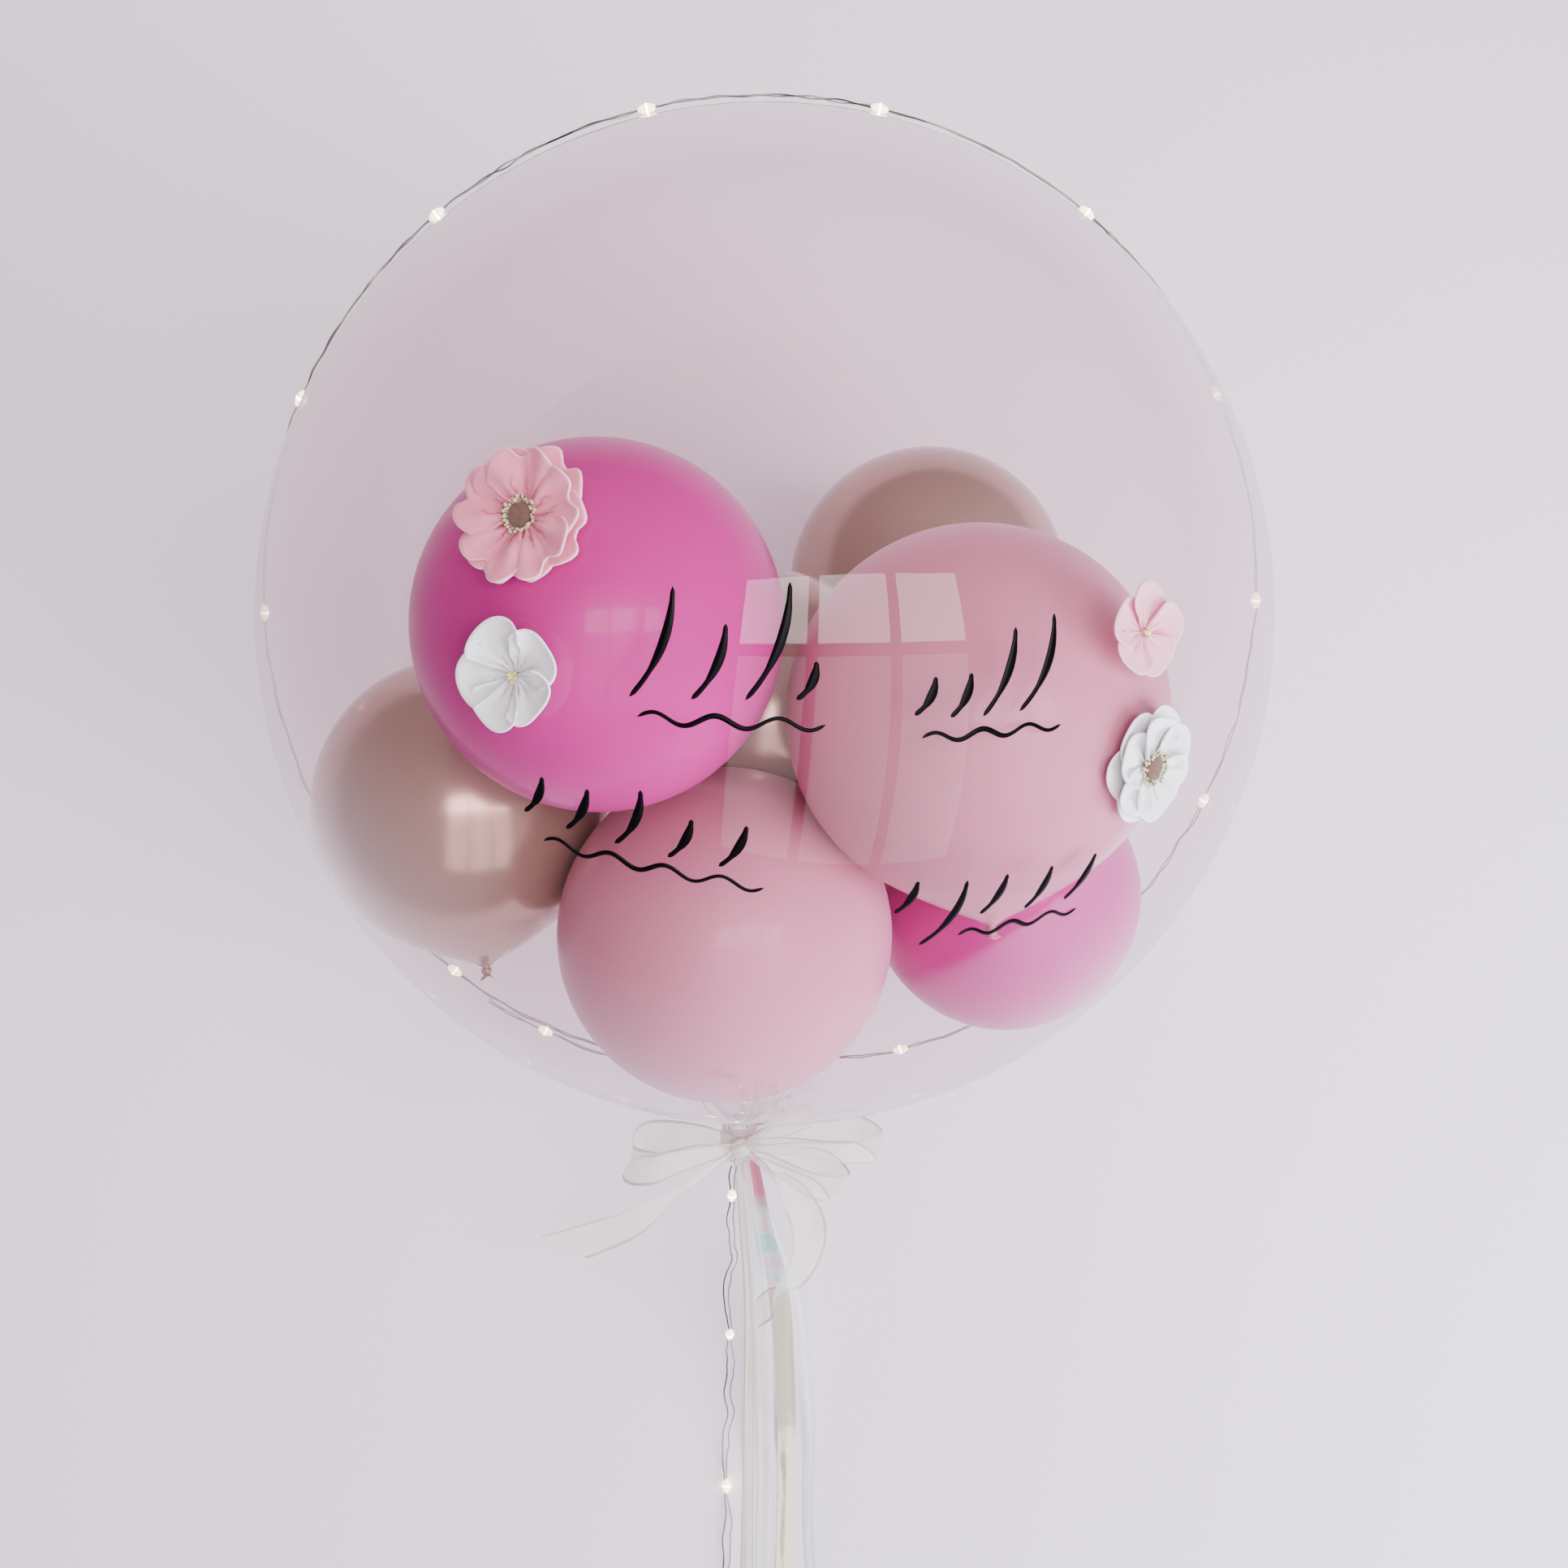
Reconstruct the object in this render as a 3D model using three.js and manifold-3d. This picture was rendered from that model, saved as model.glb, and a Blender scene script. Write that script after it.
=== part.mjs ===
// A clear bubble balloon with a bow: an inflated sphere of clear film with a short tied neck, dressed
// with foam flowers, brush strokes cut from black vinyl, a string of tiny lamps round its girth, an
// organza bow and a tail of film streamers. It lies on its back on a level surface, its neck leaning
// down, on a small flat spot where the film gives.
//
// World frame, millimetres: origin at the middle of the flat spot, +Z up, the tail running to -Y.
// Balloon frame, before the lean: centre of the bubble at 0, crown at +Y, neck at -Y, front at +Z.

import * as THREE from 'three';
import { mergeVertices } from 'three/addons/utils/BufferGeometryUtils.js';
import Module from 'manifold-3d';

// Bubble
const bubbleRadius = 227;
const shoulderPolar = 168; // degrees from the crown, where the film starts to draw in to the neck
const neckTieDistance = 258;
const neckEndDistance = 277;
const neckRadius = 7;
const flatSpotRadius = 30;
const leanDegrees = 26;
const bubbleHeight = Math.sqrt(bubbleRadius ** 2 - flatSpotRadius ** 2);
const sphereRows = 18;
const neckRows = 4;
const bubbleSegments = 36;

// Everything that touches keeps this much apart
const seat = 0.3;

// Light string: lamp pitch, the lamps' size and how far the wire rides off the film
const lampPitchDegrees = 24.8;
const firstLampDegrees = -166.4;
const ringLampCount = 16;
const lampRadius = 2.2;
const lampLength = 8;
const wireRadius = 0.8;
const wireRide = lampRadius + 0.5;
const ringStepBack = 27; // how far behind the neck the ring passes
const doubledStepAside = 6; // the second pass lies this far in front of the first
const ringLeadIn = 55; // from the neck to the first lamp
const ringTwistedEnd = 32; // past the last lamp, twisted round the first pass
const lampOutline = [[-0.5, wireRadius], [-0.3, 2.0], [0.1, lampRadius], [0.5, wireRadius]];
const tailLampPitch = 100;
const firstTailLamp = 18;
const tailLampCount = 4;

// Battery box of the light string
const boxSize = new THREE.Vector3(32, 58, 13);
const boxCorner = 3;
const boxInlet = new THREE.Vector3(-22, -600, 6.5);
const switchSize = new THREE.Vector3(5, 9, 2);

// Vinyl strokes
const vinylThickness = 0.6;
const dabWidest = 3.4;
const dabNarrowest = 1.8;
const waveWidest = 2.0;
const waveNarrowest = 1.4;
const dabSteps = 6;
const stepsPerWave = 5;

// Foam and ribbon
const foamThickness = 1.4;
const footClearance = 0.1; // a flower's foot sits this much further off the film
const buttonHeight = 2;
const heartRadius = 2;
const heartHeight = 1.8;
const stamenRingWidth = 1.6;
const stamenHeight = 2.4;
const ribbonThickness = 1.0;
const ribbonSections = 10;
const streamerThickness = 0.8;
const streamerSections = 18;
const floorGap = 0.05;
const bandOuterRadius = 10.5;
const bandInnerRadius = neckRadius + seat;
const bandTop = 259;
const bandBottom = 273;

const radians = THREE.MathUtils.degToRad;
const vector = (x, y, z) => new THREE.Vector3(x, y, z);

const wasm = await Module();
wasm.setup();

// Leaves position only, joins shared corners, drops empty triangles and turns the faces outward.
function closed(geometry) {
  const bare = geometry.index ? geometry.clone() : mergeVertices(geometry.clone());
  bare.deleteAttribute('normal');
  bare.deleteAttribute('uv');
  const merged = mergeVertices(bare, 1e-3);
  const corners = merged.index.array;
  const points = merged.getAttribute('position');
  const at = (i) => new THREE.Vector3().fromBufferAttribute(points, i);
  const kept = [];
  let volume = 0;
  for (let i = 0; i < corners.length; i += 3) {
    const [a, b, c] = [corners[i], corners[i + 1], corners[i + 2]];
    if (a === b || b === c || c === a) continue;
    kept.push([a, b, c]);
    volume += at(a).dot(at(b).cross(at(c)));
  }
  merged.setIndex(kept.flatMap(([a, b, c]) => (volume < 0 ? [a, c, b] : [a, b, c])));
  return merged;
}

function toManifold(geometry) {
  const whole = closed(geometry);
  return new wasm.Manifold(new wasm.Mesh({
    numProp: 3,
    vertProperties: new Float32Array(whole.getAttribute('position').array),
    triVerts: new Uint32Array(whole.index.array),
  }));
}

function fromManifold(solid) {
  const mesh = solid.getMesh();
  const geometry = new THREE.BufferGeometry();
  geometry.setAttribute('position', new THREE.BufferAttribute(new Float32Array(mesh.vertProperties), 3));
  geometry.setIndex(Array.from(mesh.triVerts));
  return closed(geometry);
}

// Joins what overlaps into one body, without the slivers that a self-crossing strip can leave.
function joined(geometries) {
  const whole = geometries.map(toManifold).reduce((sum, solid) => sum.add(solid));
  return fromManifold(whole.decompose().sort((a, b) => b.volume() - a.volume())[0]);
}

const finishes = {
  clearFilm: { color: 0xe9e4ea, roughness: 0.05, metalness: 0 },
  blackVinyl: { color: 0x0b0b0d, roughness: 0.25, metalness: 0 },
  pinkFoam: { color: 0xf0b4c6, roughness: 0.8, metalness: 0 },
  whiteFoam: { color: 0xf1eef1, roughness: 0.8, metalness: 0 },
  stamenYellow: { color: 0xd8d09a, roughness: 0.9, metalness: 0 },
  brownFelt: { color: 0x7d6360, roughness: 0.9, metalness: 0 },
  lightString: { color: 0xcdbfae, roughness: 0.35, metalness: 0.6 },
  whitePlastic: { color: 0xefedf0, roughness: 0.5, metalness: 0 },
  creamOrganza: { color: 0xeadfd6, roughness: 0.6, metalness: 0 },
  pearlFilm: { color: 0xdfe6e2, roughness: 0.3, metalness: 0 },
};

function piece(name, geometry, finish) {
  const mesh = new THREE.Mesh(closed(geometry), new THREE.MeshStandardMaterial(finishes[finish]));
  mesh.name = name;
  return mesh;
}

// A sheet with a top and a bottom skin, given as rows of points, sewn along its rim.
function skinned(topRows, bottomRows) {
  const rows = topRows.length;
  const columns = topRows[0].length;
  const positions = [...topRows.flat(), ...bottomRows.flat()].flatMap((p) => p.toArray());
  const top = (i, j) => i * columns + j;
  const bottom = (i, j) => rows * columns + top(i, j);
  const faces = [];
  const quad = (a, b, c, d) => faces.push(a, b, c, a, c, d);
  for (let i = 0; i < rows - 1; i += 1) {
    for (let j = 0; j < columns - 1; j += 1) {
      quad(top(i, j), top(i, j + 1), top(i + 1, j + 1), top(i + 1, j));
      quad(bottom(i, j), bottom(i + 1, j), bottom(i + 1, j + 1), bottom(i, j + 1));
    }
    quad(top(i, 0), top(i + 1, 0), bottom(i + 1, 0), bottom(i, 0));
    const last = columns - 1;
    quad(top(i + 1, last), top(i, last), bottom(i, last), bottom(i + 1, last));
  }
  for (let j = 0; j < columns - 1; j += 1) {
    quad(top(0, j + 1), top(0, j), bottom(0, j), bottom(0, j + 1));
    quad(top(rows - 1, j), top(rows - 1, j + 1), bottom(rows - 1, j + 1), bottom(rows - 1, j));
  }
  const geometry = new THREE.BufferGeometry();
  geometry.setAttribute('position', new THREE.Float32BufferAttribute(positions, 3));
  geometry.setIndex(faces);
  return geometry;
}

// ---- Bubble: clear film, a sphere that draws in to a gathered neck --------------------------------

// How far the film is from the bubble's centre in a direction this many degrees from the crown.
const neckPolar = 180 - THREE.MathUtils.radToDeg(Math.atan2(neckRadius, neckTieDistance));
function filmReach(polar) {
  const drawn = THREE.MathUtils.clamp((polar - shoulderPolar) / (neckPolar - shoulderPolar), 0, 1);
  return bubbleRadius + (neckTieDistance - bubbleRadius) * drawn ** 2;
}

function bubbleGeometry() {
  const profile = [];
  const add = (polar) => {
    const reach = filmReach(polar);
    profile.push(new THREE.Vector2(reach * Math.sin(radians(polar)), reach * Math.cos(radians(polar))));
  };
  for (let i = 0; i < sphereRows; i += 1) add((shoulderPolar * i) / sphereRows);
  for (let i = 0; i <= neckRows; i += 1) add(shoulderPolar + ((neckPolar - shoulderPolar) * i) / neckRows);
  profile[0].x = 0;
  profile.push(new THREE.Vector2(neckRadius, -neckEndDistance), new THREE.Vector2(0, -neckEndDistance));
  return new THREE.LatheGeometry(profile, bubbleSegments);
}

function flatSpottedBubble() {
  const leaning = bubbleGeometry().rotateX(radians(leanDegrees)).translate(0, 0, bubbleHeight);
  const width = 3 * bubbleRadius;
  const ground = new THREE.BoxGeometry(width, width, bubbleRadius).translate(0, 0, -bubbleRadius / 2);
  return fromManifold(toManifold(leaning).subtract(toManifold(ground)));
}

// A point over the film, by longitude from the front and latitude from the girth, in degrees.
function overFilm(longitude, latitude, height) {
  const reach = bubbleRadius + height;
  const [lon, lat] = [radians(longitude), radians(latitude)];
  return vector(
    reach * Math.sin(lon) * Math.cos(lat),
    reach * Math.sin(lat),
    reach * Math.cos(lon) * Math.cos(lat),
  );
}

// ---- Foam flowers: whorls of petals cut from foam sheet, a stamen ring and a button ----------------

// One whorl as a single cut piece, flat up to 'flat' from its middle. Waist is how far out the cut
// between two petals reaches, lift raises the petals' tips and cup raises their sides.
function whorl({ petals, radius, flat, waist, notch, lift, cup, base }) {
  const perPetal = petals > 5 ? 6 : 8;
  const around = petals * perPetal;
  const notchWidth = 0.09; // a share of the petal's width
  const positions = [];
  const skin = (thickness) => {
    positions.push(0, 0, base + thickness);
    for (const outline of [false, true]) {
      for (let k = 0; k < around; k += 1) {
        const across = (k % perPetal) / perPetal;
        const lobe = waist + (1 - waist) * Math.sqrt(Math.sin(Math.PI * across));
        const dip = notch * Math.exp(-(((across - 0.5) / notchWidth) ** 2));
        const reach = outline ? radius * (lobe - dip) : flat;
        const rise = (lift * (reach - flat)) / (radius - flat);
        const height = base + thickness + rise + (outline ? cup * (2 * across - 1) ** 2 : 0);
        const turn = (2 * Math.PI * k) / around;
        positions.push(reach * Math.cos(turn), reach * Math.sin(turn), height);
      }
    }
  };
  skin(foamThickness);
  skin(0);
  const skinSize = 1 + 2 * around; // its middle, the ring round the flat and the outline
  const rim = 1 + around;
  const faces = [];
  for (const [start, flip] of [[0, false], [skinSize, true]]) {
    const face = (a, b, c) => faces.push(...(flip ? [a, c, b] : [a, b, c]));
    for (let k = 0; k < around; k += 1) {
      const next = (k + 1) % around;
      const inner = start + 1;
      const outer = start + rim;
      face(start, inner + k, inner + next);
      face(inner + k, outer + k, outer + next);
      face(inner + k, outer + next, inner + next);
    }
  }
  for (let k = 0; k < around; k += 1) {
    const next = (k + 1) % around;
    const [a, b, c, d] = [rim + k, rim + skinSize + k, rim + skinSize + next, rim + next];
    faces.push(a, b, c, a, c, d);
  }
  const geometry = new THREE.BufferGeometry();
  geometry.setAttribute('position', new THREE.Float32BufferAttribute(positions, 3));
  geometry.setIndex(faces);
  return geometry;
}

// Turned about the flower's own axis: a low ring of stamens, or a domed button.
function turned(profile, segments) {
  const points = profile.map(([radius, height]) => new THREE.Vector2(radius, height));
  return new THREE.LatheGeometry(points, segments).rotateX(Math.PI / 2);
}

function stamenRing(inner, base) {
  const outer = inner + stamenRingWidth;
  const crest = base + stamenHeight;
  return turned([
    [inner, base],
    [outer, base],
    [outer + stamenRingWidth / 3, base + (stamenHeight * 2) / 3],
    [inner + stamenRingWidth / 3, crest],
    [inner, base],
  ], 18);
}

function button(radius, base, height) {
  return turned([
    [0, base],
    [radius, base],
    [radius, base + height * 0.6],
    [radius * 0.6, base + height],
    [0, base + height],
  ], 14);
}

function placeFlower({ longitude, latitude, turn }, pieces) {
  const flower = new THREE.Group();
  flower.position.copy(overFilm(longitude, latitude, 0));
  flower.quaternion.setFromUnitVectors(vector(0, 0, 1), overFilm(longitude, latitude, 0).normalize());
  flower.rotateZ(radians(turn));
  flower.add(...pieces);
  return flower;
}

const firstBase = seat + footClearance;
const secondBase = firstBase + foamThickness + seat;
const heartBase = secondBase + foamThickness + seat;

// The inner whorl is turned so that its petals lie over the gaps between the outer ones.
function anemone(name, foam, place, outerWhorl, innerWhorl, buttonRadius) {
  const lapped = whorl({ ...innerWhorl, base: secondBase }).rotateZ(Math.PI / innerWhorl.petals);
  return placeFlower(place, [
    piece(`${name}_outer_petals`, whorl({ ...outerWhorl, base: firstBase }), foam),
    piece(`${name}_inner_petals`, lapped, foam),
    piece(`${name}_stamen_ring`, stamenRing(buttonRadius + seat, heartBase), 'stamenYellow'),
    piece(`${name}_button`, button(buttonRadius, heartBase, buttonHeight), 'brownFelt'),
  ]);
}

function frangipani(name, foam, place, petals) {
  return placeFlower(place, [
    piece(`${name}_petals`, whorl({ ...petals, base: firstBase }), foam),
    piece(`${name}_yellow_heart`, button(heartRadius, secondBase, heartHeight), 'stamenYellow'),
  ]);
}

const flowers = [
  anemone(
    'pink_anemone',
    'pinkFoam',
    { longitude: -26, latitude: 20.2, turn: 20 },
    { petals: 5, radius: 25, flat: 8.5, waist: 0.62, notch: 0.12, lift: 3.5, cup: 0 },
    { petals: 5, radius: 23.4, flat: 8.5, waist: 0.6, notch: 0.12, lift: 7, cup: 2 },
    4.5,
  ),
  frangipani(
    'white_frangipani',
    'whiteFoam',
    { longitude: -25.1, latitude: 6.6, turn: 38 },
    { petals: 5, radius: 19.2, flat: 4, waist: 0.6, notch: 0, lift: 7, cup: 2 },
  ),
  frangipani(
    'pink_frangipani',
    'pinkFoam',
    { longitude: 34.7, latitude: 11.6, turn: 12 },
    { petals: 5, radius: 17.6, flat: 4, waist: 0.5, notch: 0, lift: 3, cup: 0.6 },
  ),
  anemone(
    'white_anemone',
    'whiteFoam',
    { longitude: 35.9, latitude: -1, turn: 5 },
    { petals: 6, radius: 22.4, flat: 8.5, waist: 0.62, notch: 0, lift: 2.5, cup: 0 },
    { petals: 6, radius: 20, flat: 8.5, waist: 0.6, notch: 0, lift: 6.5, cup: 1.5 },
    4.4,
  ),
];

// ---- Brush strokes: four rows of tapered dabs and a wave under each, cut from black vinyl ----------

// A flat stroke that follows the film. Its path is in millimetres right and up from its row's middle.
function strokeGeometry(row, path, widest, narrowest) {
  const lift = (u, v, height) => overFilm(
    row.longitude + THREE.MathUtils.radToDeg(u / (bubbleRadius * Math.cos(radians(row.latitude)))),
    row.latitude + THREE.MathUtils.radToDeg(v / bubbleRadius),
    height,
  );
  const last = path.length - 1;
  const rows = { top: [], bottom: [] };
  path.forEach((point, i) => {
    const along = path[Math.min(i + 1, last)].clone().sub(path[Math.max(i - 1, 0)]).normalize();
    const belly = Math.sin(Math.PI * Math.min(1, (i / last) * 1.15 + 0.02)) ** 0.8;
    const half = 0.5 * Math.max(narrowest, widest * Math.max(0, belly));
    for (const [skin, height] of [['top', seat + vinylThickness], ['bottom', seat]]) {
      rows[skin].push([-half, half].map((aside) => lift(
        point.x - along.y * aside,
        point.y + along.x * aside,
        height,
      )));
    }
  });
  return skinned(rows.top, rows.bottom);
}

function dabPath([fromX, fromY, toX, toY, bend]) {
  const from = new THREE.Vector2(fromX, fromY);
  const to = new THREE.Vector2(toX, toY);
  const along = to.clone().sub(from).normalize();
  const middle = from.clone().add(to).multiplyScalar(0.5);
  middle.add(new THREE.Vector2(-along.y, along.x).multiplyScalar(bend * 2));
  return new THREE.QuadraticBezierCurve(from, middle, to).getPoints(dabSteps);
}

function wavePath({ left, right, level, slope, swell, waves }) {
  const steps = waves * stepsPerWave;
  return Array.from({ length: steps + 1 }, (_, i) => {
    const x = left + ((right - left) * i) / steps;
    return new THREE.Vector2(x, level + slope * x + swell * Math.sin((2 * Math.PI * waves * i) / steps));
  });
}

// Each dab: start right and up, end right and up, and how far its middle bows aside.
const strokeRows = [
  {
    name: 'upper_left',
    longitude: -5.8,
    latitude: 10.4,
    dabs: [[-21, 21, -33, -17, 4], [-2, 10, -12, -16, 3], [19, 25, 6, -15, 4], [29, -1, 23, -14, 2]],
    wave: { left: -30, right: 33, level: -23, slope: 0.02, swell: 2, waves: 3 },
  },
  {
    name: 'upper_right',
    longitude: 17.9,
    latitude: 8.7,
    dabs: [[-22, 1, -29, -12, 2], [-9, 2, -16, -13, 2], [8, 17, -4, -13, 3], [24, 21, 10, -12, 4]],
    wave: { left: -26, right: 27, level: -19, slope: 0.04, swell: 1.6, waves: 3 },
  },
  {
    name: 'lower_left',
    longitude: -12,
    latitude: -5.4,
    dabs: [
      [-40, 13, -47, -1, 2],
      [-23, 11, -31, -5, 2],
      [-4, 13, -13, -8, 3],
      [14, 4, 6, -11, 2],
      [33, 3, 24, -13, 2],
    ],
    wave: { left: -40, right: 40, level: -16, slope: -0.12, swell: 2, waves: 4 },
  },
  {
    name: 'lower_right',
    longitude: 20.5,
    latitude: -11.5,
    dabs: [
      [-32, 6, -39, -7, 2],
      [-13, 5, -27, -22, 4],
      [3, 6, -5, -10, 2],
      [22, 7, 14, -10, 2],
      [42, 9, 32, -9, 2],
    ],
    wave: { left: -12, right: 40, level: -18, slope: 0.08, swell: 1.8, waves: 3 },
  },
];

const strokes = strokeRows.flatMap((row) => [
  ...row.dabs.map((dab, i) => piece(
    `vinyl_dab_${row.name}_${i + 1}`,
    strokeGeometry(row, dabPath(dab), dabWidest, dabNarrowest),
    'blackVinyl',
  )),
  piece(
    `vinyl_wave_${row.name}`,
    strokeGeometry(row, wavePath(row.wave), waveWidest, waveNarrowest),
    'blackVinyl',
  ),
]);

// ---- Light string: bare wire with lamps set on it, once round the girth and down the tail ----------

function wireTube(points, steps, sides) {
  const section = new THREE.Shape();
  section.absarc(0, 0, wireRadius, 0, 2 * Math.PI);
  return new THREE.ExtrudeGeometry(new THREE.Shape(section.getPoints(sides / 2).slice(0, -1)), {
    steps,
    bevelEnabled: false,
    extrudePath: new THREE.CatmullRomCurve3(points, false, 'centripetal'),
  });
}

function lampOn(curve, distance) {
  const share = distance / curve.getLength();
  const lamp = new THREE.SphereGeometry(lampRadius, 6, 4).scale(1, lampLength / (2 * lampRadius), 1);
  const along = curve.getTangentAt(share);
  lamp.applyQuaternion(new THREE.Quaternion().setFromUnitVectors(vector(0, 1, 0), along));
  return lamp.translate(...curve.getPointAt(share).toArray());
}

// A round bar of changing thickness along a curve. Each station is a distance along and a radius.
function sweptRound(curve, stations, sides) {
  const total = curve.getLength();
  const rings = stations.map(([distance, radius]) => {
    const share = Math.min(1, distance / total);
    const centre = curve.getPointAt(share);
    const along = curve.getTangentAt(share);
    const outward = centre.clone().addScaledVector(along, -centre.dot(along)).normalize();
    const beside = along.clone().cross(outward);
    return Array.from({ length: sides }, (_, k) => {
      const turn = (2 * Math.PI * k) / sides;
      return centre.clone()
        .addScaledVector(outward, radius * Math.cos(turn))
        .addScaledVector(beside, radius * Math.sin(turn));
    });
  });
  const faces = [];
  for (let i = 0; i < rings.length - 1; i += 1) {
    for (let k = 0; k < sides; k += 1) {
      const next = (k + 1) % sides;
      const [a, b] = [i * sides, (i + 1) * sides];
      faces.push(a + k, a + next, b + next, a + k, b + next, b + k);
    }
  }
  const end = (rings.length - 1) * sides;
  for (let k = 1; k < sides - 1; k += 1) {
    faces.push(0, k + 1, k, end, end + k, end + k + 1);
  }
  const geometry = new THREE.BufferGeometry();
  const positions = rings.flat().flatMap((point) => point.toArray());
  geometry.setAttribute('position', new THREE.Float32BufferAttribute(positions, 3));
  geometry.setIndex(faces);
  return geometry;
}

// A point of the ring over the girth: degrees from the crown towards +X, and a step aside along +Z.
function onGirth(degrees, aside) {
  const tilt = Math.asin(aside / bubbleRadius);
  const direction = vector(
    Math.sin(radians(degrees)) * Math.cos(tilt),
    Math.cos(radians(degrees)) * Math.cos(tilt),
    Math.sin(tilt),
  );
  const polar = THREE.MathUtils.radToDeg(direction.angleTo(vector(0, 1, 0)));
  return direction.multiplyScalar(filmReach(polar) + wireRide);
}

function ringRoute() {
  const lastLamp = firstLampDegrees + lampPitchDegrees * (ringLampCount - 1);
  const wireEnd = lastLamp + 8;
  const pitch = 4;
  const route = [vector(-13.5, -254.5, 5), onGirth(-174.2, 5), onGirth(-172, 3)];
  for (let degrees = -168; degrees < wireEnd; degrees += pitch) {
    const pastNeck = THREE.MathUtils.smoothstep(degrees, 184, 198);
    const behind = -ringStepBack * Math.exp(-(((degrees - 180) / 12) ** 2));
    route.push(onGirth(degrees, behind * (1 - pastNeck) + doubledStepAside * pastNeck));
  }
  route.push(onGirth(wireEnd, doubledStepAside));
  return route;
}

// The wire swells into a drop of resin at each lamp, so both are one swept body.
function ringOfLamps() {
  const curve = new THREE.CatmullRomCurve3(ringRoute(), false, 'centripetal');
  const total = curve.getLength();
  const lampPitch = (total - ringLeadIn - ringTwistedEnd) / (ringLampCount - 1);
  const stations = [0, 0.2, 0.4, 0.6].map((share) => [share * ringLeadIn, wireRadius]);
  for (let k = 0; k < ringLampCount; k += 1) {
    const middle = ringLeadIn + k * lampPitch;
    for (const [ahead, radius] of lampOutline) stations.push([middle + ahead * lampLength, radius]);
    if (k === ringLampCount - 1) break;
    const steps = k < ringLampCount - 3 ? 4 : 9; // closer together where the ring bends round the neck
    for (let i = 1; i < steps; i += 1) stations.push([middle + (i * lampPitch) / steps, wireRadius]);
  }
  stations.push([total, wireRadius]);
  return sweptRound(curve, stations, 6);
}

// The free stretch: out of the bow, down to the surface and along it to the battery box.
const tailRoute = [
  [-3, -253, 112],
  [-3.2, -264, 105.8],
  [-2.8, -282, 93],
  [-1.8, -304, 75.5],
  [-0.6, -328, 56.5],
  [0.6, -352, 37],
  [1.6, -374, 19.5],
  [2.2, -392, 8.6],
  [2.5, -408, 3.8],
  [2.6, -426, 2.6],
  [2.6, -451, 2.5],
  [3.2, -478, 2.5],
  [2, -505, 2.5],
  [-3, -530, 2.5],
  [-11.5, -553, 2.6],
  [-18.5, -575, 3.2],
  [-21.5, -589, 5.2],
  [-22, -599.6, 6.5],
].map((point) => vector(...point));

function tailOfLamps() {
  const curve = new THREE.CatmullRomCurve3(tailRoute, false, 'centripetal');
  const lamps = [];
  for (let k = 0; k < tailLampCount; k += 1) lamps.push(lampOn(curve, firstTailLamp + k * tailLampPitch));
  return joined([wireTube(tailRoute, 40, 8), ...lamps]);
}

function batteryBox() {
  const { x: width, y: length, z: height } = boxSize;
  const outline = new THREE.Shape();
  const [w, l, r] = [width / 2, length / 2, boxCorner];
  outline.moveTo(-w + r, -l);
  outline.lineTo(w - r, -l).absarc(w - r, -l + r, r, -Math.PI / 2, 0);
  outline.lineTo(w, l - r).absarc(w - r, l - r, r, 0, Math.PI / 2);
  outline.lineTo(-w + r, l).absarc(-w + r, l - r, r, Math.PI / 2, Math.PI);
  outline.lineTo(-w, -l + r).absarc(-w + r, -l + r, r, Math.PI, 1.5 * Math.PI);
  const body = new THREE.ExtrudeGeometry(outline, {
    depth: height,
    bevelEnabled: false,
    curveSegments: 4,
  });
  return body.translate(boxInlet.x, boxInlet.y - length / 2, 0);
}

function boxSwitch() {
  const knob = new THREE.BoxGeometry(switchSize.x, switchSize.y, switchSize.z);
  return knob.translate(boxInlet.x, boxInlet.y - 16, boxSize.z + seat + switchSize.z / 2);
}

// ---- Ribbon: a strip of given widths that follows a path, its width lying along 'across' -----------

function ribbon({ path, across, widths, thickness, sections }) {
  const spine = new THREE.CatmullRomCurve3(path, false, 'centripetal');
  const side = new THREE.CatmullRomCurve3(across, false, 'centripetal');
  const rows = { top: [], bottom: [] };
  for (let i = 0; i <= sections; i += 1) {
    const share = i / sections;
    const centre = spine.getPointAt(share);
    const along = spine.getTangentAt(share);
    const wide = side.getPoint(share);
    wide.addScaledVector(along, -wide.dot(along)).normalize();
    const normal = along.clone().cross(wide);
    const slot = share * (widths.length - 1);
    const low = Math.min(Math.floor(slot), widths.length - 2);
    const half = 0.5 * THREE.MathUtils.lerp(widths[low], widths[low + 1], slot - low);
    for (const [skin, sign] of [['top', 1], ['bottom', -1]]) {
      rows[skin].push([-half, half].map((offset) => centre.clone()
        .addScaledVector(wide, offset)
        .addScaledVector(normal, (sign * thickness) / 2)));
    }
  }
  return skinned(rows.top, rows.bottom);
}

// ---- Organza bow: one ribbon tied round the neck, four loops and two tails -------------------------

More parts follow.
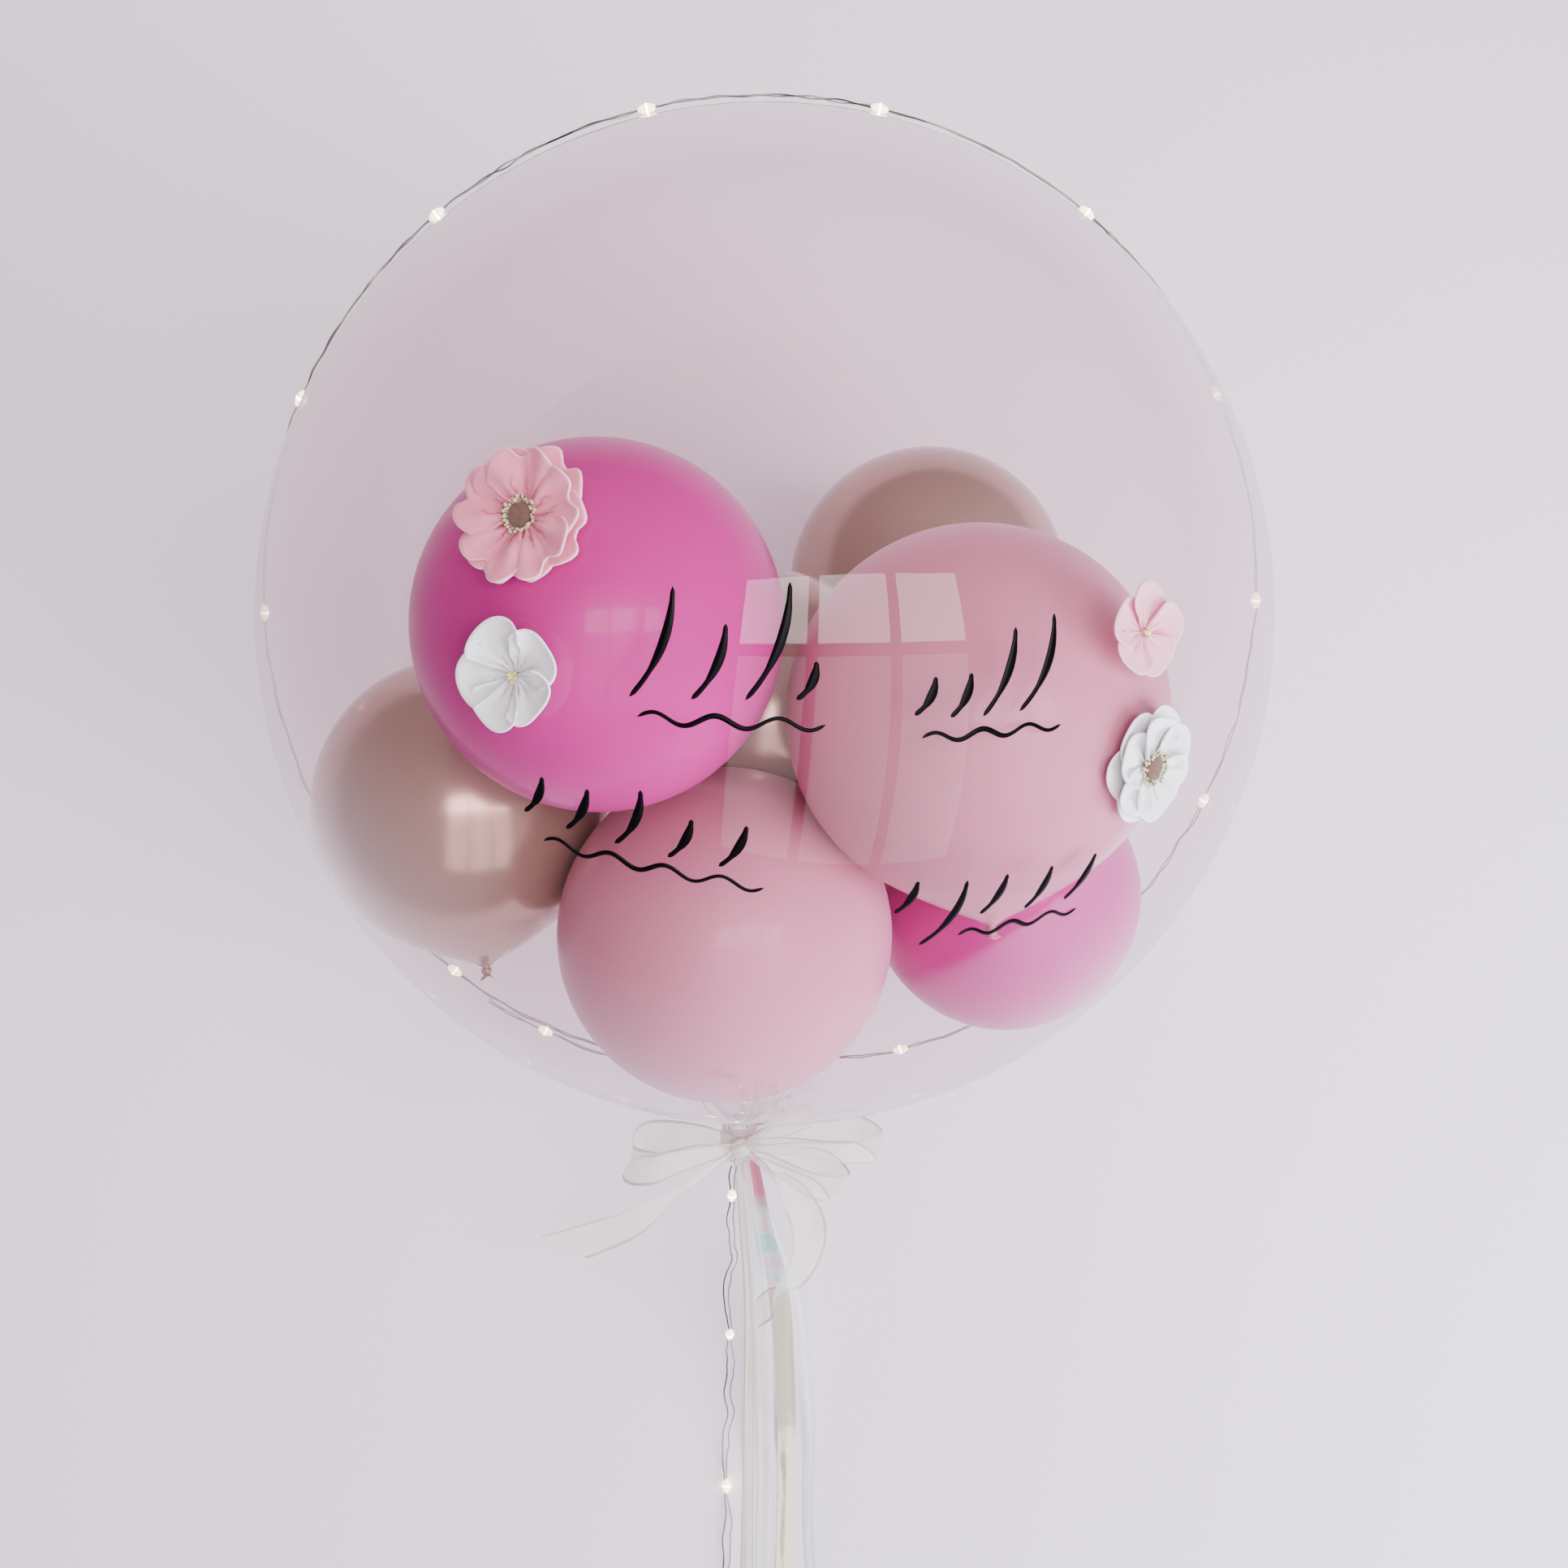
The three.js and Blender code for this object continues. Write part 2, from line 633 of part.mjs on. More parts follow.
const bowStrips = [
  { // left loop
    path: [
      [-3, -264, 15], [-20, -265, 21], [-42, -270, 25], [-56, -273, 15],
      [-50, -268, 4], [-24, -262, 6], [-3, -262, 12],
    ],
    across: [
      [0, 1, 0.1], [0.1, 1, 0.3], [0.2, 1, 0.2], [0.3, 1, 0],
      [0.2, 1, -0.2], [0, 1, 0], [0, 1, 0],
    ],
    widths: [7, 13, 19, 21, 19, 12, 7],
  },
  { // right upper loop
    path: [
      [3, -262, 15], [24, -258, 22], [52, -259, 25], [69, -260, 16],
      [60, -257, 6], [28, -258, 8], [3, -262, 12],
    ],
    across: [
      [0, 1, 0.1], [0, 1, 0.4], [0, 1, 0.5], [0.1, 1, 0.2],
      [0, 1, -0.1], [0, 1, 0], [0, 1, 0],
    ],
    widths: [7, 12, 18, 21, 18, 12, 7],
  },
  { // right lower loop
    path: [
      [4, -266, 15], [18, -272, 18], [38, -282, 19], [51, -287, 11],
      [44, -281, 3], [22, -272, 7], [4, -266, 12],
    ],
    across: [
      [0.3, 1, 0.1], [0.4, 1, 0.3], [0.5, 1, 0.3], [0.6, 1, 0.1],
      [0.5, 1, -0.1], [0.4, 1, 0], [0.3, 1, 0],
    ],
    widths: [7, 12, 18, 20, 18, 12, 7],
  },
  { // small loop behind
    path: [
      [4, -261, 12], [14, -256, 12], [28, -252, 10], [35, -251, 4],
      [28, -252, -1], [16, -255, 3], [9, -260, 8], [4, -262, 12],
    ],
    across: [
      [0, 1, 0], [0, 1, 0.3], [0, 1, 0.3], [0, 1, 0.1],
      [0, 1, 0], [0, 1, 0], [0, 1, 0], [0, 1, 0],
    ],
    widths: [6, 8, 10, 11, 10, 8, 7, 6],
  },
  { // left tail
    path: [
      [-3, -266, 14], [-18, -277, 18], [-36, -292, 17], [-58, -311, 14],
      [-88, -325, 12],
    ],
    across: [[0.6, 1, 0], [0.7, 1, 0.2], [0.7, 0.8, 0.3], [0.5, 0.9, 0.2], [0.2, 1, 0]],
    widths: [7, 13, 17, 20, 20],
  },
  { // right tail
    path: [
      [4, -267, 14], [20, -278, 20], [33, -296, 21], [37, -320, 17],
      [29, -344, 13], [13, -363, 11],
    ],
    across: [
      [-0.7, 1, 0], [-0.9, 0.8, 0.2], [-1, 0.3, 0.3], [-1, -0.2, 0.3],
      [-1, -0.7, 0.2], [-0.5, -0.9, 0],
    ],
    widths: [7, 14, 18, 19, 18, 12],
  },
];

function organzaBow() {
  const band = new THREE.LatheGeometry([
    [bandInnerRadius, -bandBottom],
    [bandOuterRadius - 1, -bandBottom],
    [bandOuterRadius, -bandBottom + 3],
    [bandOuterRadius, -bandTop - 3],
    [bandOuterRadius - 1, -bandTop],
    [bandInnerRadius, -bandTop],
    [bandInnerRadius, -bandBottom],
  ].map(([radius, height]) => new THREE.Vector2(radius, height)), 14);
  const knot = new THREE.SphereGeometry(1, 8, 6).scale(7.5, 7, 5.5).translate(0, -264.5, 13.6);
  const strips = bowStrips.map(({ path, across, widths }) => ribbon({
    path: path.map((p) => vector(...p)),
    across: across.map((a) => vector(...a)),
    widths,
    thickness: ribbonThickness,
    sections: ribbonSections,
  }));
  return joined([band, knot, ...strips]);
}

// ---- Streamers: four strips of thin film from the tie down to the surface and along it -------------

// Runs out of the neck along its lean, sags to the surface and lies on it. Middles give the strip's
// place to the side at even steps of its length; stack is its place in the pile at the tie.
function streamer({ stack, middles, widths, landing, end }) {
  const start = vector(middles[0], -neckEndDistance - 1, stack);
  start.applyAxisAngle(vector(1, 0, 0), radians(leanDegrees));
  start.z += bubbleHeight;
  const heading = vector(0, -Math.cos(radians(leanDegrees)), -Math.sin(radians(leanDegrees)));
  const ground = streamerThickness / 2 + floorGap;
  const drop = new THREE.CubicBezierCurve3(
    start,
    start.clone().addScaledVector(heading, 56),
    vector(0, landing + 60, ground),
    vector(0, landing, ground),
  );
  const fall = drop.getPoints(11);
  const flat = [1, 2, 3, 4].map((k) => vector(0, landing + ((end - landing) * k) / 4, ground));
  const path = [...fall, ...flat];
  const aside = new THREE.CatmullRomCurve3(middles.map((x, i) => vector(x, i, 0)));
  path.forEach((point, i) => { point.x = aside.getPoint(i / (path.length - 1)).x; });
  return ribbon({
    path,
    across: [vector(1, 0, 0), vector(1, 0, 0)],
    widths,
    thickness: streamerThickness,
    sections: streamerSections,
  });
}

const streamerCuts = [
  {
    name: 'streamer_left',
    finish: 'creamOrganza',
    stack: -2.4,
    middles: [-1, 4, 9, 12, 14, 15.4, 15.8],
    widths: [4, 4, 5, 6, 8, 8],
    landing: -424,
    end: -585,
  },
  {
    name: 'streamer_centre',
    finish: 'creamOrganza',
    stack: 2.6,
    middles: [2, 9, 16.5, 21, 24, 25.3, 26],
    widths: [6, 8, 9.4, 9.4, 9.4, 9.4],
    landing: -430,
    end: -600,
  },
  {
    name: 'streamer_pearl',
    finish: 'pearlFilm',
    stack: 0,
    middles: [5, 14, 26, 32, 35.5, 36.8, 37.4],
    widths: [9, 12, 10.4, 10.4, 11, 11],
    landing: -427,
    end: -572,
  },
  {
    name: 'streamer_curled',
    finish: 'creamOrganza',
    stack: -5,
    middles: [4, 17, 33, 42, 48, 50, 56],
    widths: [5, 6, 7, 7, 8, 6],
    landing: -420,
    end: -520,
  },
];

const streamers = streamerCuts.map((cut) => piece(cut.name, streamer(cut), cut.finish));

// ---- The whole balloon -----------------------------------------------------------------------------

const balloon = new THREE.Group();
balloon.position.z = bubbleHeight;
balloon.rotation.x = radians(leanDegrees);
balloon.add(
  ...flowers,
  ...strokes,
  piece('light_string_ring', ringOfLamps(), 'lightString'),
  piece('organza_bow', organzaBow(), 'creamOrganza'),
);

const object = new THREE.Group();
object.add(
  piece('bubble', flatSpottedBubble(), 'clearFilm'),
  balloon,
  ...streamers,
  piece('light_string_tail', tailOfLamps(), 'lightString'),
  piece('battery_box', batteryBox(), 'whitePlastic'),
  piece('battery_box_switch', boxSwitch(), 'whitePlastic'),
);

export default object;
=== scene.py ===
"""A clear bubble balloon lying on its back on a pale floor: seven small balloons sealed in a sphere of
clear film, foam flowers and vinyl brush strokes on its front, a string of tiny lamps round its girth,
an organza bow on its neck and a tail of film streamers."""

import math
import random

import bpy
from mathutils import Matrix, Vector, noise


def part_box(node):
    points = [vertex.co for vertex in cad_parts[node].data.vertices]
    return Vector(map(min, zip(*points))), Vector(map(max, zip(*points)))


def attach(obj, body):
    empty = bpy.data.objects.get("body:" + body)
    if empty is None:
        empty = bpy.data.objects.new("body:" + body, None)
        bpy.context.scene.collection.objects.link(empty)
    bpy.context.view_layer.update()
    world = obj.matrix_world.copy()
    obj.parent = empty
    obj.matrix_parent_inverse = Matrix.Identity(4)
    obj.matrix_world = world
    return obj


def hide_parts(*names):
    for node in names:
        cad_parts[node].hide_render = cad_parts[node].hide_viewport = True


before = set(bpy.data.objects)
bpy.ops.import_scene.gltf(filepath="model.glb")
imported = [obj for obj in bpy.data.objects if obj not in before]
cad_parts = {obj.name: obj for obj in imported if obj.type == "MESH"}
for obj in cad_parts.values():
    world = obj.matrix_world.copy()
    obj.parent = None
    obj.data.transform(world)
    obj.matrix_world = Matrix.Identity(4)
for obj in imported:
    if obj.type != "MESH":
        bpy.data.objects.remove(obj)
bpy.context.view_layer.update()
mm = 0.001


def placed(name, data):
    """A new object of this data, put into the scene."""
    thing = bpy.data.objects.new(name, data)
    bpy.context.collection.objects.link(thing)
    return thing


# ---- Camera ----------------------------------------------------------------------------------------
# It hangs a metre above the floor, a little to the neck's side, and looks down on the balloon's front,
# so the bubble fills the frame and the tail runs out of its lower edge.

camera_place = Vector((-38.46, -183.85, 1012.86)) * mm
camera_right = Vector((0.99749, 0.02715, 0.06534))
camera_down = Vector((0.03593, -0.98991, -0.13707))
camera_view = Vector((0.06096, 0.13907, -0.98840))

camera_data = bpy.data.cameras.new("camera")
camera_data.sensor_width = 36
camera_data.lens = 40.06
camera = placed("camera", camera_data)
camera_axes = Matrix((camera_right, -camera_down, -camera_view)).transposed()
camera.matrix_world = Matrix.Translation(camera_place) @ camera_axes.to_4x4()
bpy.context.scene.camera = camera


# ---- Light string, free stretch --------------------------------------------------------------------
# The end of the light string leaves the bow, sags to the floor and runs to its battery box: two fine
# enamelled copper-silver wires side by side, which bow apart between the lamps soldered across them.

tail_route = [
    (-3, -253, 112), (-3.2, -264, 105.8), (-2.8, -282, 93), (-1.8, -304, 75.5), (-0.6, -328, 56.5),
    (0.6, -352, 37), (1.6, -374, 19.5), (2.2, -392, 8.6), (2.5, -408, 3.8), (2.6, -426, 2.6),
    (2.6, -451, 2.5), (3.2, -478, 2.5), (2, -505, 2.5), (-3, -530, 2.5), (-11.5, -553, 2.6),
    (-18.5, -575, 3.2), (-21.5, -589, 5.2), (-22, -599.6, 6.5),
]
tail_first_lamp = 18 * mm
lamp_pitch_on_tail = 100 * mm
tail_lamp_count = 4
wire_radius = 0.38 * mm


def smooth_line(points, step):
    """Evenly spaced points along one smooth curve through the given ones, about step apart."""
    fine = []
    ends = [points[0] * 2 - points[1]] + list(points) + [points[-1] * 2 - points[-2]]
    for before, start, stop, after in zip(ends, ends[1:], ends[2:], ends[3:]):
        gaps = [max((b - a).length, 1e-9) ** 0.5 for a, b in ((before, start), (start, stop), (stop, after))]
        leave = (start - before) / gaps[0] - (stop - before) / (gaps[0] + gaps[1]) + (stop - start) / gaps[1]
        arrive = (stop - start) / gaps[1] - (after - start) / (gaps[1] + gaps[2]) + (after - stop) / gaps[2]
        leave, arrive = leave * gaps[1], arrive * gaps[1]
        for i in range(24):
            t = i / 24
            fine.append(
                start + leave * t + (3 * (stop - start) - 2 * leave - arrive) * t**2
                + (2 * (start - stop) + leave + arrive) * t**3
            )
    fine.append(points[-1].copy())
    reached = [0.0]
    for a, b in zip(fine, fine[1:]):
        reached.append(reached[-1] + (b - a).length)
    count = max(2, round(reached[-1] / step))
    spaced, at = [], 0
    for k in range(count + 1):
        wanted = reached[-1] * k / count
        while at < len(fine) - 2 and reached[at + 1] < wanted:
            at += 1
        share = (wanted - reached[at]) / max(reached[at + 1] - reached[at], 1e-12)
        spaced.append(fine[at].lerp(fine[at + 1], min(max(share, 0), 1)))
    return spaced


def eased(value):
    """A value held between 0 and 1, with a soft start and a soft stop."""
    share = min(max(value, 0), 1)
    return share * share * (3 - 2 * share)


def heading_at(line, i):
    """Which way a line of points runs at one of them."""
    return (line[min(i + 1, len(line) - 1)] - line[max(i - 1, 0)]).normalized()


def lattice(rows, round_rows=False):
    """Faces and texture places of a sheet whose points are given row by row."""
    columns = len(rows[0])
    corners = [point for row in rows for point in row]
    places = [(j / (columns - 1), i / (len(rows) - 1)) for i in range(len(rows)) for j in range(columns)]
    faces = []
    for i in range(len(rows) - 1):
        for j in range(columns if round_rows else columns - 1):
            a, b = i * columns + j, i * columns + (j + 1) % columns
            faces.append((a, b, b + columns, a + columns))
    return corners, faces, places


def closed_rings(rows):
    """Rings of points skinned one after another, with a flat face over each end."""
    corners, faces, places = lattice(rows, round_rows=True)
    count = len(rows[0])
    faces.append(tuple(reversed(range(count))))
    faces.append(tuple(range(len(corners) - count, len(corners))))
    return corners, faces, places


def turns(count):
    """Evenly spaced angles once round."""
    return [2 * math.pi * k / count for k in range(count)]


def round_wire(line, radius, sides=6):
    """A round bar along a line of points, closed at both ends. The radius is one number or one a point."""
    radii = radius if isinstance(radius, list) else [radius] * len(line)
    heading = heading_at(line, 0)
    aside = heading.orthogonal().normalized()
    rows = []
    for i, centre in enumerate(line):
        heading = heading_at(line, i)
        aside = (aside - heading * aside.dot(heading)).normalized()
        beside = heading.cross(aside)
        rows.append([centre + (aside * math.cos(t) + beside * math.sin(t)) * radii[i] for t in turns(sides)])
    return closed_rings(rows)


def joined(parts):
    """Several meshes as one, each given as corners, faces and texture places."""
    corners, faces, places = [], [], []
    for more_corners, more_faces, more_places in parts:
        faces += [tuple(k + len(corners) for k in face) for face in more_faces]
        corners += more_corners
        places += more_places
    return corners, faces, places


def show(name, shape, finish, stands_for=()):
    """Puts a piece into the scene with its finish, hangs it on the root body and hides the model parts it
    stands for.
    """
    corners, faces, places = shape
    mesh = bpy.data.meshes.new(name)
    mesh.from_pydata([tuple(corner) for corner in corners], [], faces)
    layer = mesh.uv_layers.new(name="across_and_along")
    for loop in mesh.loops:
        layer.data[loop.index].uv = places[loop.vertex_index]
    mesh.polygons.foreach_set("use_smooth", [True] * len(mesh.polygons))
    mesh.materials.append(finish)
    thing = placed(name, mesh)
    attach(thing, "root")
    if stands_for:
        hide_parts(*stands_for)
    return thing


def new_group(name, given_sockets, result_sockets):
    """An empty shader group with named inputs and outputs: its tree, its given side and its result side."""
    tree = bpy.data.node_groups.new(name, "ShaderNodeTree")
    for in_out, sockets in (("INPUT", given_sockets), ("OUTPUT", result_sockets)):
        for socket, kind in sockets.items():
            tree.interface.new_socket(socket, in_out=in_out, socket_type="NodeSocket" + kind)
    return tree, tree.nodes.new("NodeGroupInput"), tree.nodes.new("NodeGroupOutput")


def fitted(tree, kind, group=None, **given):
    """A new node whose inputs, named with underscores for spaces, hold plain values or are linked."""
    node = tree.nodes.new("ShaderNode" + kind)
    if group:
        node.node_tree = group
    for name, value in given.items():
        socket = node.inputs[name.replace("_", " ")]
        if isinstance(value, bpy.types.NodeSocket):
            tree.links.new(value, socket)
        else:
            socket.default_value = value
    return node


def maths(tree, operation, *terms):
    """The outcome of one sum over numbers and sockets."""
    node = tree.nodes.new("ShaderNodeMath")
    node.operation = operation
    for socket, term in zip(node.inputs, terms):
        if isinstance(term, bpy.types.NodeSocket):
            tree.links.new(term, socket)
        else:
            socket.default_value = term
    return node.outputs["Value"]


def ranged(tree, value, low, high, first=0, last=1):
    """A value carried from the span between low and high to the one between first and last."""
    node = fitted(tree, "MapRange", Value=value, From_Min=low, From_Max=high, To_Min=first, To_Max=last)
    return node.outputs["Result"]


def tinted(tree, colour, mask, tint):
    """A colour with a tint laid over it where the mask is up."""
    mix = tree.nodes.new("ShaderNodeMix")
    mix.data_type = "RGBA"
    tree.links.new(mask, mix.inputs["Factor"])
    for socket, side in (("A", colour), ("B", tint)):
        if isinstance(side, bpy.types.NodeSocket):
            tree.links.new(side, mix.inputs[socket])
        else:
            mix.inputs[socket].default_value = (*side, 1)
    return mix.outputs["Result"]


def sheet_place(tree):
    """A point's place on its sheet, with its share of the way across and its share of the way along."""
    place = tree.nodes.new("ShaderNodeUVMap").outputs["UV"]
    split = fitted(tree, "SeparateXYZ", Vector=place)
    return place, split.outputs["X"], split.outputs["Y"]


# Two tints that drift into each other in soft patches, under a fine grain.
patches_and_grain, given, result = new_group(
    "patches_and_grain", {"Tint": "Color", "Other Tint": "Color", "Patches": "Float", "Grain": "Float"},
    {"Color": "Color", "Height": "Float"},
)
object_place = patches_and_grain.nodes.new("ShaderNodeTexCoord").outputs["Object"]
patches, grain = (
    fitted(patches_and_grain, "TexNoise", Vector=object_place, Scale=given.outputs[scale], Detail=detail)
    for scale, detail in (("Patches", 3), ("Grain", 4))
)
drift = ranged(patches_and_grain, patches.outputs["Fac"], 0.35, 0.65)
both_tints = tinted(patches_and_grain, given.outputs["Tint"], drift, given.outputs["Other Tint"])
patches_and_grain.links.new(both_tints, result.inputs["Color"])
patches_and_grain.links.new(grain.outputs["Fac"], result.inputs["Height"])


def new_finish(name, tint, other_tint, patches, grain, bump=0.0, relief=0.1 * mm, **plain_values):
    """A finish of two tints in patches, roughened by their grain where bump is given."""
    finish = bpy.data.materials.new(name)
    finish.use_nodes = True
    tree = finish.node_tree
    group = fitted(
        tree, "Group", patches_and_grain,
        Tint=(*tint, 1), Other_Tint=(*other_tint, 1), Patches=patches, Grain=grain,
    )
    shader = tree.nodes["Principled BSDF"]
    tree.links.new(group.outputs["Color"], shader.inputs["Base Color"])
    if bump:
        rough = fitted(tree, "Bump", Strength=bump, Distance=relief, Height=group.outputs["Height"])
        tree.links.new(rough.outputs["Normal"], shader.inputs["Normal"])
    for socket, value in plain_values.items():
        shader.inputs[socket.replace("_", " ")].default_value = value
    return finish


def base_colour(finish):
    """The colour that now feeds a finish's main shader, and the socket it feeds."""
    socket = finish.node_tree.nodes["Principled BSDF"].inputs["Base Color"]
    return socket.links[0].from_socket, socket


enamelled_wire = new_finish(
    "enamelled_wire", (0.060, 0.040, 0.032), (0.42, 0.38, 0.37), 26, 900, bump=0.2,
    Metallic=0.85, Roughness=0.32,
)
silver_wire = new_finish(
    "silver_wire", (0.34, 0.31, 0.33), (0.55, 0.52, 0.54), 26, 900, bump=0.2, Metallic=0.85, Roughness=0.3
)
clear_resin = new_finish(
    "clear_lamp_resin", (1.0, 0.93, 0.78), (1.0, 0.97, 0.9), 300, 900, bump=0.15,
    Roughness=0.12, Emission_Color=(1.0, 0.74, 0.36, 1), Emission_Strength=4.5,
)
glowing_chip = new_finish(
    "glowing_chip", (1.0, 0.9, 0.6), (1.0, 0.95, 0.75), 900, 2000,
    Emission_Color=(1.0, 0.90, 0.70, 1), Emission_Strength=14,
)


def pair_of_wires(line, lamp_places, spread, seed, upward_at):
    """Two wires that wander beside a line, close together at each lamp and bowed apart between lamps."""
    step = (line[1] - line[0]).length
    wires = [[], []]
    for i, centre in enumerate(line):
        along = i * step
        gap_to_lamp = min(abs(along - place) for place in lamp_places)
        apart = min(1, gap_to_lamp / (22 * mm)) ** 0.8
        heading = heading_at(line, i)
        up = upward_at(centre, heading)
        side = heading.cross(up)
        wander = noise.noise(Vector((along * 68, seed + 0.5, 0))) * 2.7 * mm * apart
        for k, sign in ((0, 1), (1, -1)):
            swing = spread * apart * (0.55 + 0.9 * noise.noise(Vector((along * 26, seed, 5 * k))))
            swing += 1.1 * mm * apart * (abs(noise.noise(Vector((along * 95, seed + 3, 7 * k)))) - 0.2)
            lift = 1.4 * mm * noise.noise(Vector((along * 75, seed, 4 * k)))
            wires[k].append(centre + side * (sign * (0.32 * mm + swing) + wander) + up * lift)
    return wires


def up_from_floor(_, heading):
    """Straight up, square to the wire there."""
    return (Vector((0, 0, 1)) - heading * heading.z).normalized()


def lamp_drop(centre, heading, length, radius, rows=10, sides=12):
    """A drop of clear resin, drawn out along the wires on both sides of the lamp in it."""
    line, radii = [], []
    for i in range(rows + 1):
        t = -1 + 2 * i / rows
        line.append(centre + heading * (t * length / 2))
        radii.append(radius * max(0.06, (1 - abs(t) ** 2.2)) ** 0.6)
    return round_wire(line, radii, sides)


def lamps_on(line, lamp_places):
    """The resin drops and the glowing chips in them, each set as one mesh."""
    step = (line[1] - line[0]).length
    drops, chips = [], []
    for place in lamp_places:
        i = min(len(line) - 1, round(place / step))
        heading = heading_at(line, i)
        drops.append(lamp_drop(line[i], heading, 8 * mm, 2.1 * mm))
        chips.append(lamp_drop(line[i], heading, 2.6 * mm, 2.35 * mm, rows=6, sides=8))
    return joined(drops), joined(chips)


tail_line = smooth_line([Vector(point) * mm for point in tail_route], 1.5 * mm)
tail_lamps = [tail_first_lamp + k * lamp_pitch_on_tail for k in range(tail_lamp_count)]
tail_wires = pair_of_wires(
    tail_line, tail_lamps + [tail_lamps[-1] + lamp_pitch_on_tail], 2.6 * mm, 0, up_from_floor
)
for tail_wire in tail_wires:
    for point in tail_wire:
        point.z = max(point.z, 0.5 * mm)
tail_drops, tail_chips = lamps_on(tail_line, tail_lamps)
light_string_tail = show(
    "light_string_tail_wire", round_wire(tail_wires[0], wire_radius), enamelled_wire,
    ["light_string_tail"],
)
second_tail_wire = show(
    "light_string_tail_second_wire", round_wire(tail_wires[1], wire_radius), silver_wire,
)
tail_lamp_drops = show("light_string_tail_lamps", tail_drops, clear_resin)
tail_lamp_chips = show("light_string_tail_lamp_chips", tail_chips, glowing_chip)


# ---- Battery box -----------------------------------------------------------------------------------
# A flat case of white moulded plastic for coin cells, in two halves with a parting line, a sliding
# switch in a sunk track on its top and a soft sleeve where the wires go in.

box_low, box_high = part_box("battery_box")
box_middle = (box_low + box_high) / 2
box_half = (box_high - box_low) / 2
box_corner = 3.4 * mm

white_plastic = new_finish(
    "white_moulded_plastic", (0.80, 0.79, 0.80), (0.74, 0.73, 0.75), 30, 1400, bump=0.12, Roughness=0.42
)


def rounded_slab(middle, half, corner, heights):
    """A slab with round corners: each height is a level from the middle and how far its rim steps in."""
    rows = []
    for level, step_in in heights:
        row = []
        for quarter, (sx, sy) in enumerate(((1, 1), (-1, 1), (-1, -1), (1, -1))):
            for k in range(7):
                turn = math.radians(90 * quarter + 15 * k)
                reach = Vector((math.cos(turn), math.sin(turn), 0)) * max(corner - step_in, 0.1 * mm)
                heart = Vector((sx * (half.x - corner), sy * (half.y - corner), level))
                row.append(middle + heart + reach)
        rows.append(row)
    return closed_rings(rows)


top, seam = box_half.z, 1.5 * mm
box_case = rounded_slab(box_middle, box_half, box_corner, [
    (-top, 1.2 * mm), (-top + 0.35 * mm, 0.35 * mm), (-top + 1.2 * mm, 0), (seam - 0.35 * mm, 0),
    (seam - 0.25 * mm, 0.45 * mm), (seam + 0.25 * mm, 0.45 * mm), (seam + 0.35 * mm, 0),
    (top - 1.2 * mm, 0), (top - 0.35 * mm, 0.35 * mm), (top, 1.2 * mm),
])
switch_low, switch_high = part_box("battery_box_switch")
switch_middle = (switch_low + switch_high) / 2
switch_half = (switch_high - switch_low) / 2
track_half = Vector((switch_half.x + 1.4 * mm, switch_half.y + 3.4 * mm, 0))
track = rounded_slab(
    Vector((switch_middle.x, switch_middle.y, box_high.z)), track_half, 1.6 * mm,
    [(-0.4 * mm, 0), (0.12 * mm, 0), (0.3 * mm, 0.25 * mm), (0.12 * mm, 0.9 * mm), (-0.05 * mm, 1.0 * mm)],
)
sleeve_line = [Vector((box_middle.x, box_high.y + t * mm, box_middle.z)) for t in (-1.5, 0, 2, 4.5, 7)]
sleeve = round_wire(sleeve_line, [2.0 * mm, 2.0 * mm, 1.8 * mm, 1.35 * mm, 1.1 * mm], 14)
battery_box = show(
    "battery_box_case", joined([box_case, track, sleeve]), white_plastic, ["battery_box"]
)
battery_box.modifiers.new("soft_edges", "WEIGHTED_NORMAL")

knob = rounded_slab(switch_middle, switch_half, 1.2 * mm, [
    (-switch_half.z - 0.25 * mm, 0), (0, 0), (switch_half.z * 0.7, 0.25 * mm), (switch_half.z, 0.8 * mm),
])
rib_rows = [(-0.1 * mm, 0), (0.12 * mm, 0), (0.2 * mm, 0.1 * mm)]
ribs = []
for k in range(-3, 4):
    rib_middle = switch_middle + Vector((0, k * 1.05 * mm, switch_half.z - 0.05 * mm))
    rib_half = Vector((switch_half.x * 0.72, 0.22 * mm, 0))
    ribs.append(rounded_slab(rib_middle, rib_half, 0.2 * mm, rib_rows))
show(
    "battery_box_sliding_switch", joined([knob, *ribs]), white_plastic,
    ["battery_box_switch"],
)


# ---- Bubble ----------------------------------------------------------------------------------------
# One seamless balloon of clear stretch film, blown to a sphere of 45 cm and lying on a small flat spot.
# It draws in to a neck that is gathered in fine pleats and tied off under the bow.

bubble_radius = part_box("bubble")[1].x
flat_spot_radius = 30 * mm
bubble_height = math.sqrt(bubble_radius**2 - flat_spot_radius**2)
lean_degrees = 26
lean = Matrix.Translation((0, 0, bubble_height)) @ Matrix.Rotation(math.radians(lean_degrees), 4, "X")
shoulder = 168
tie_distance = 258 * mm
neck_radius = 7 * mm
neck_end = 277 * mm
neck_polar = 180 - math.degrees(math.atan2(neck_radius, tie_distance))
tied_end = [(6.2, 261), (5.6, 265), (5.6, 268), (6.2, 272), (6.8, 277)]
pleats_start, pleats_full = 158, 178
film_thickness = 0.35 * mm
girth_steps = 144


def film_reach(polar):
    """How far the film is from the bubble's centre, this many degrees from the crown."""
    drawn = min(max((polar - shoulder) / (neck_polar - shoulder), 0), 1)
    return bubble_radius + (tie_distance - bubble_radius) * drawn**2


def on_balloon(x, y, z):
    """From the balloon's own frame, crown along Y and front along Z, to the floor's."""
    return lean @ Vector((x, y, z))


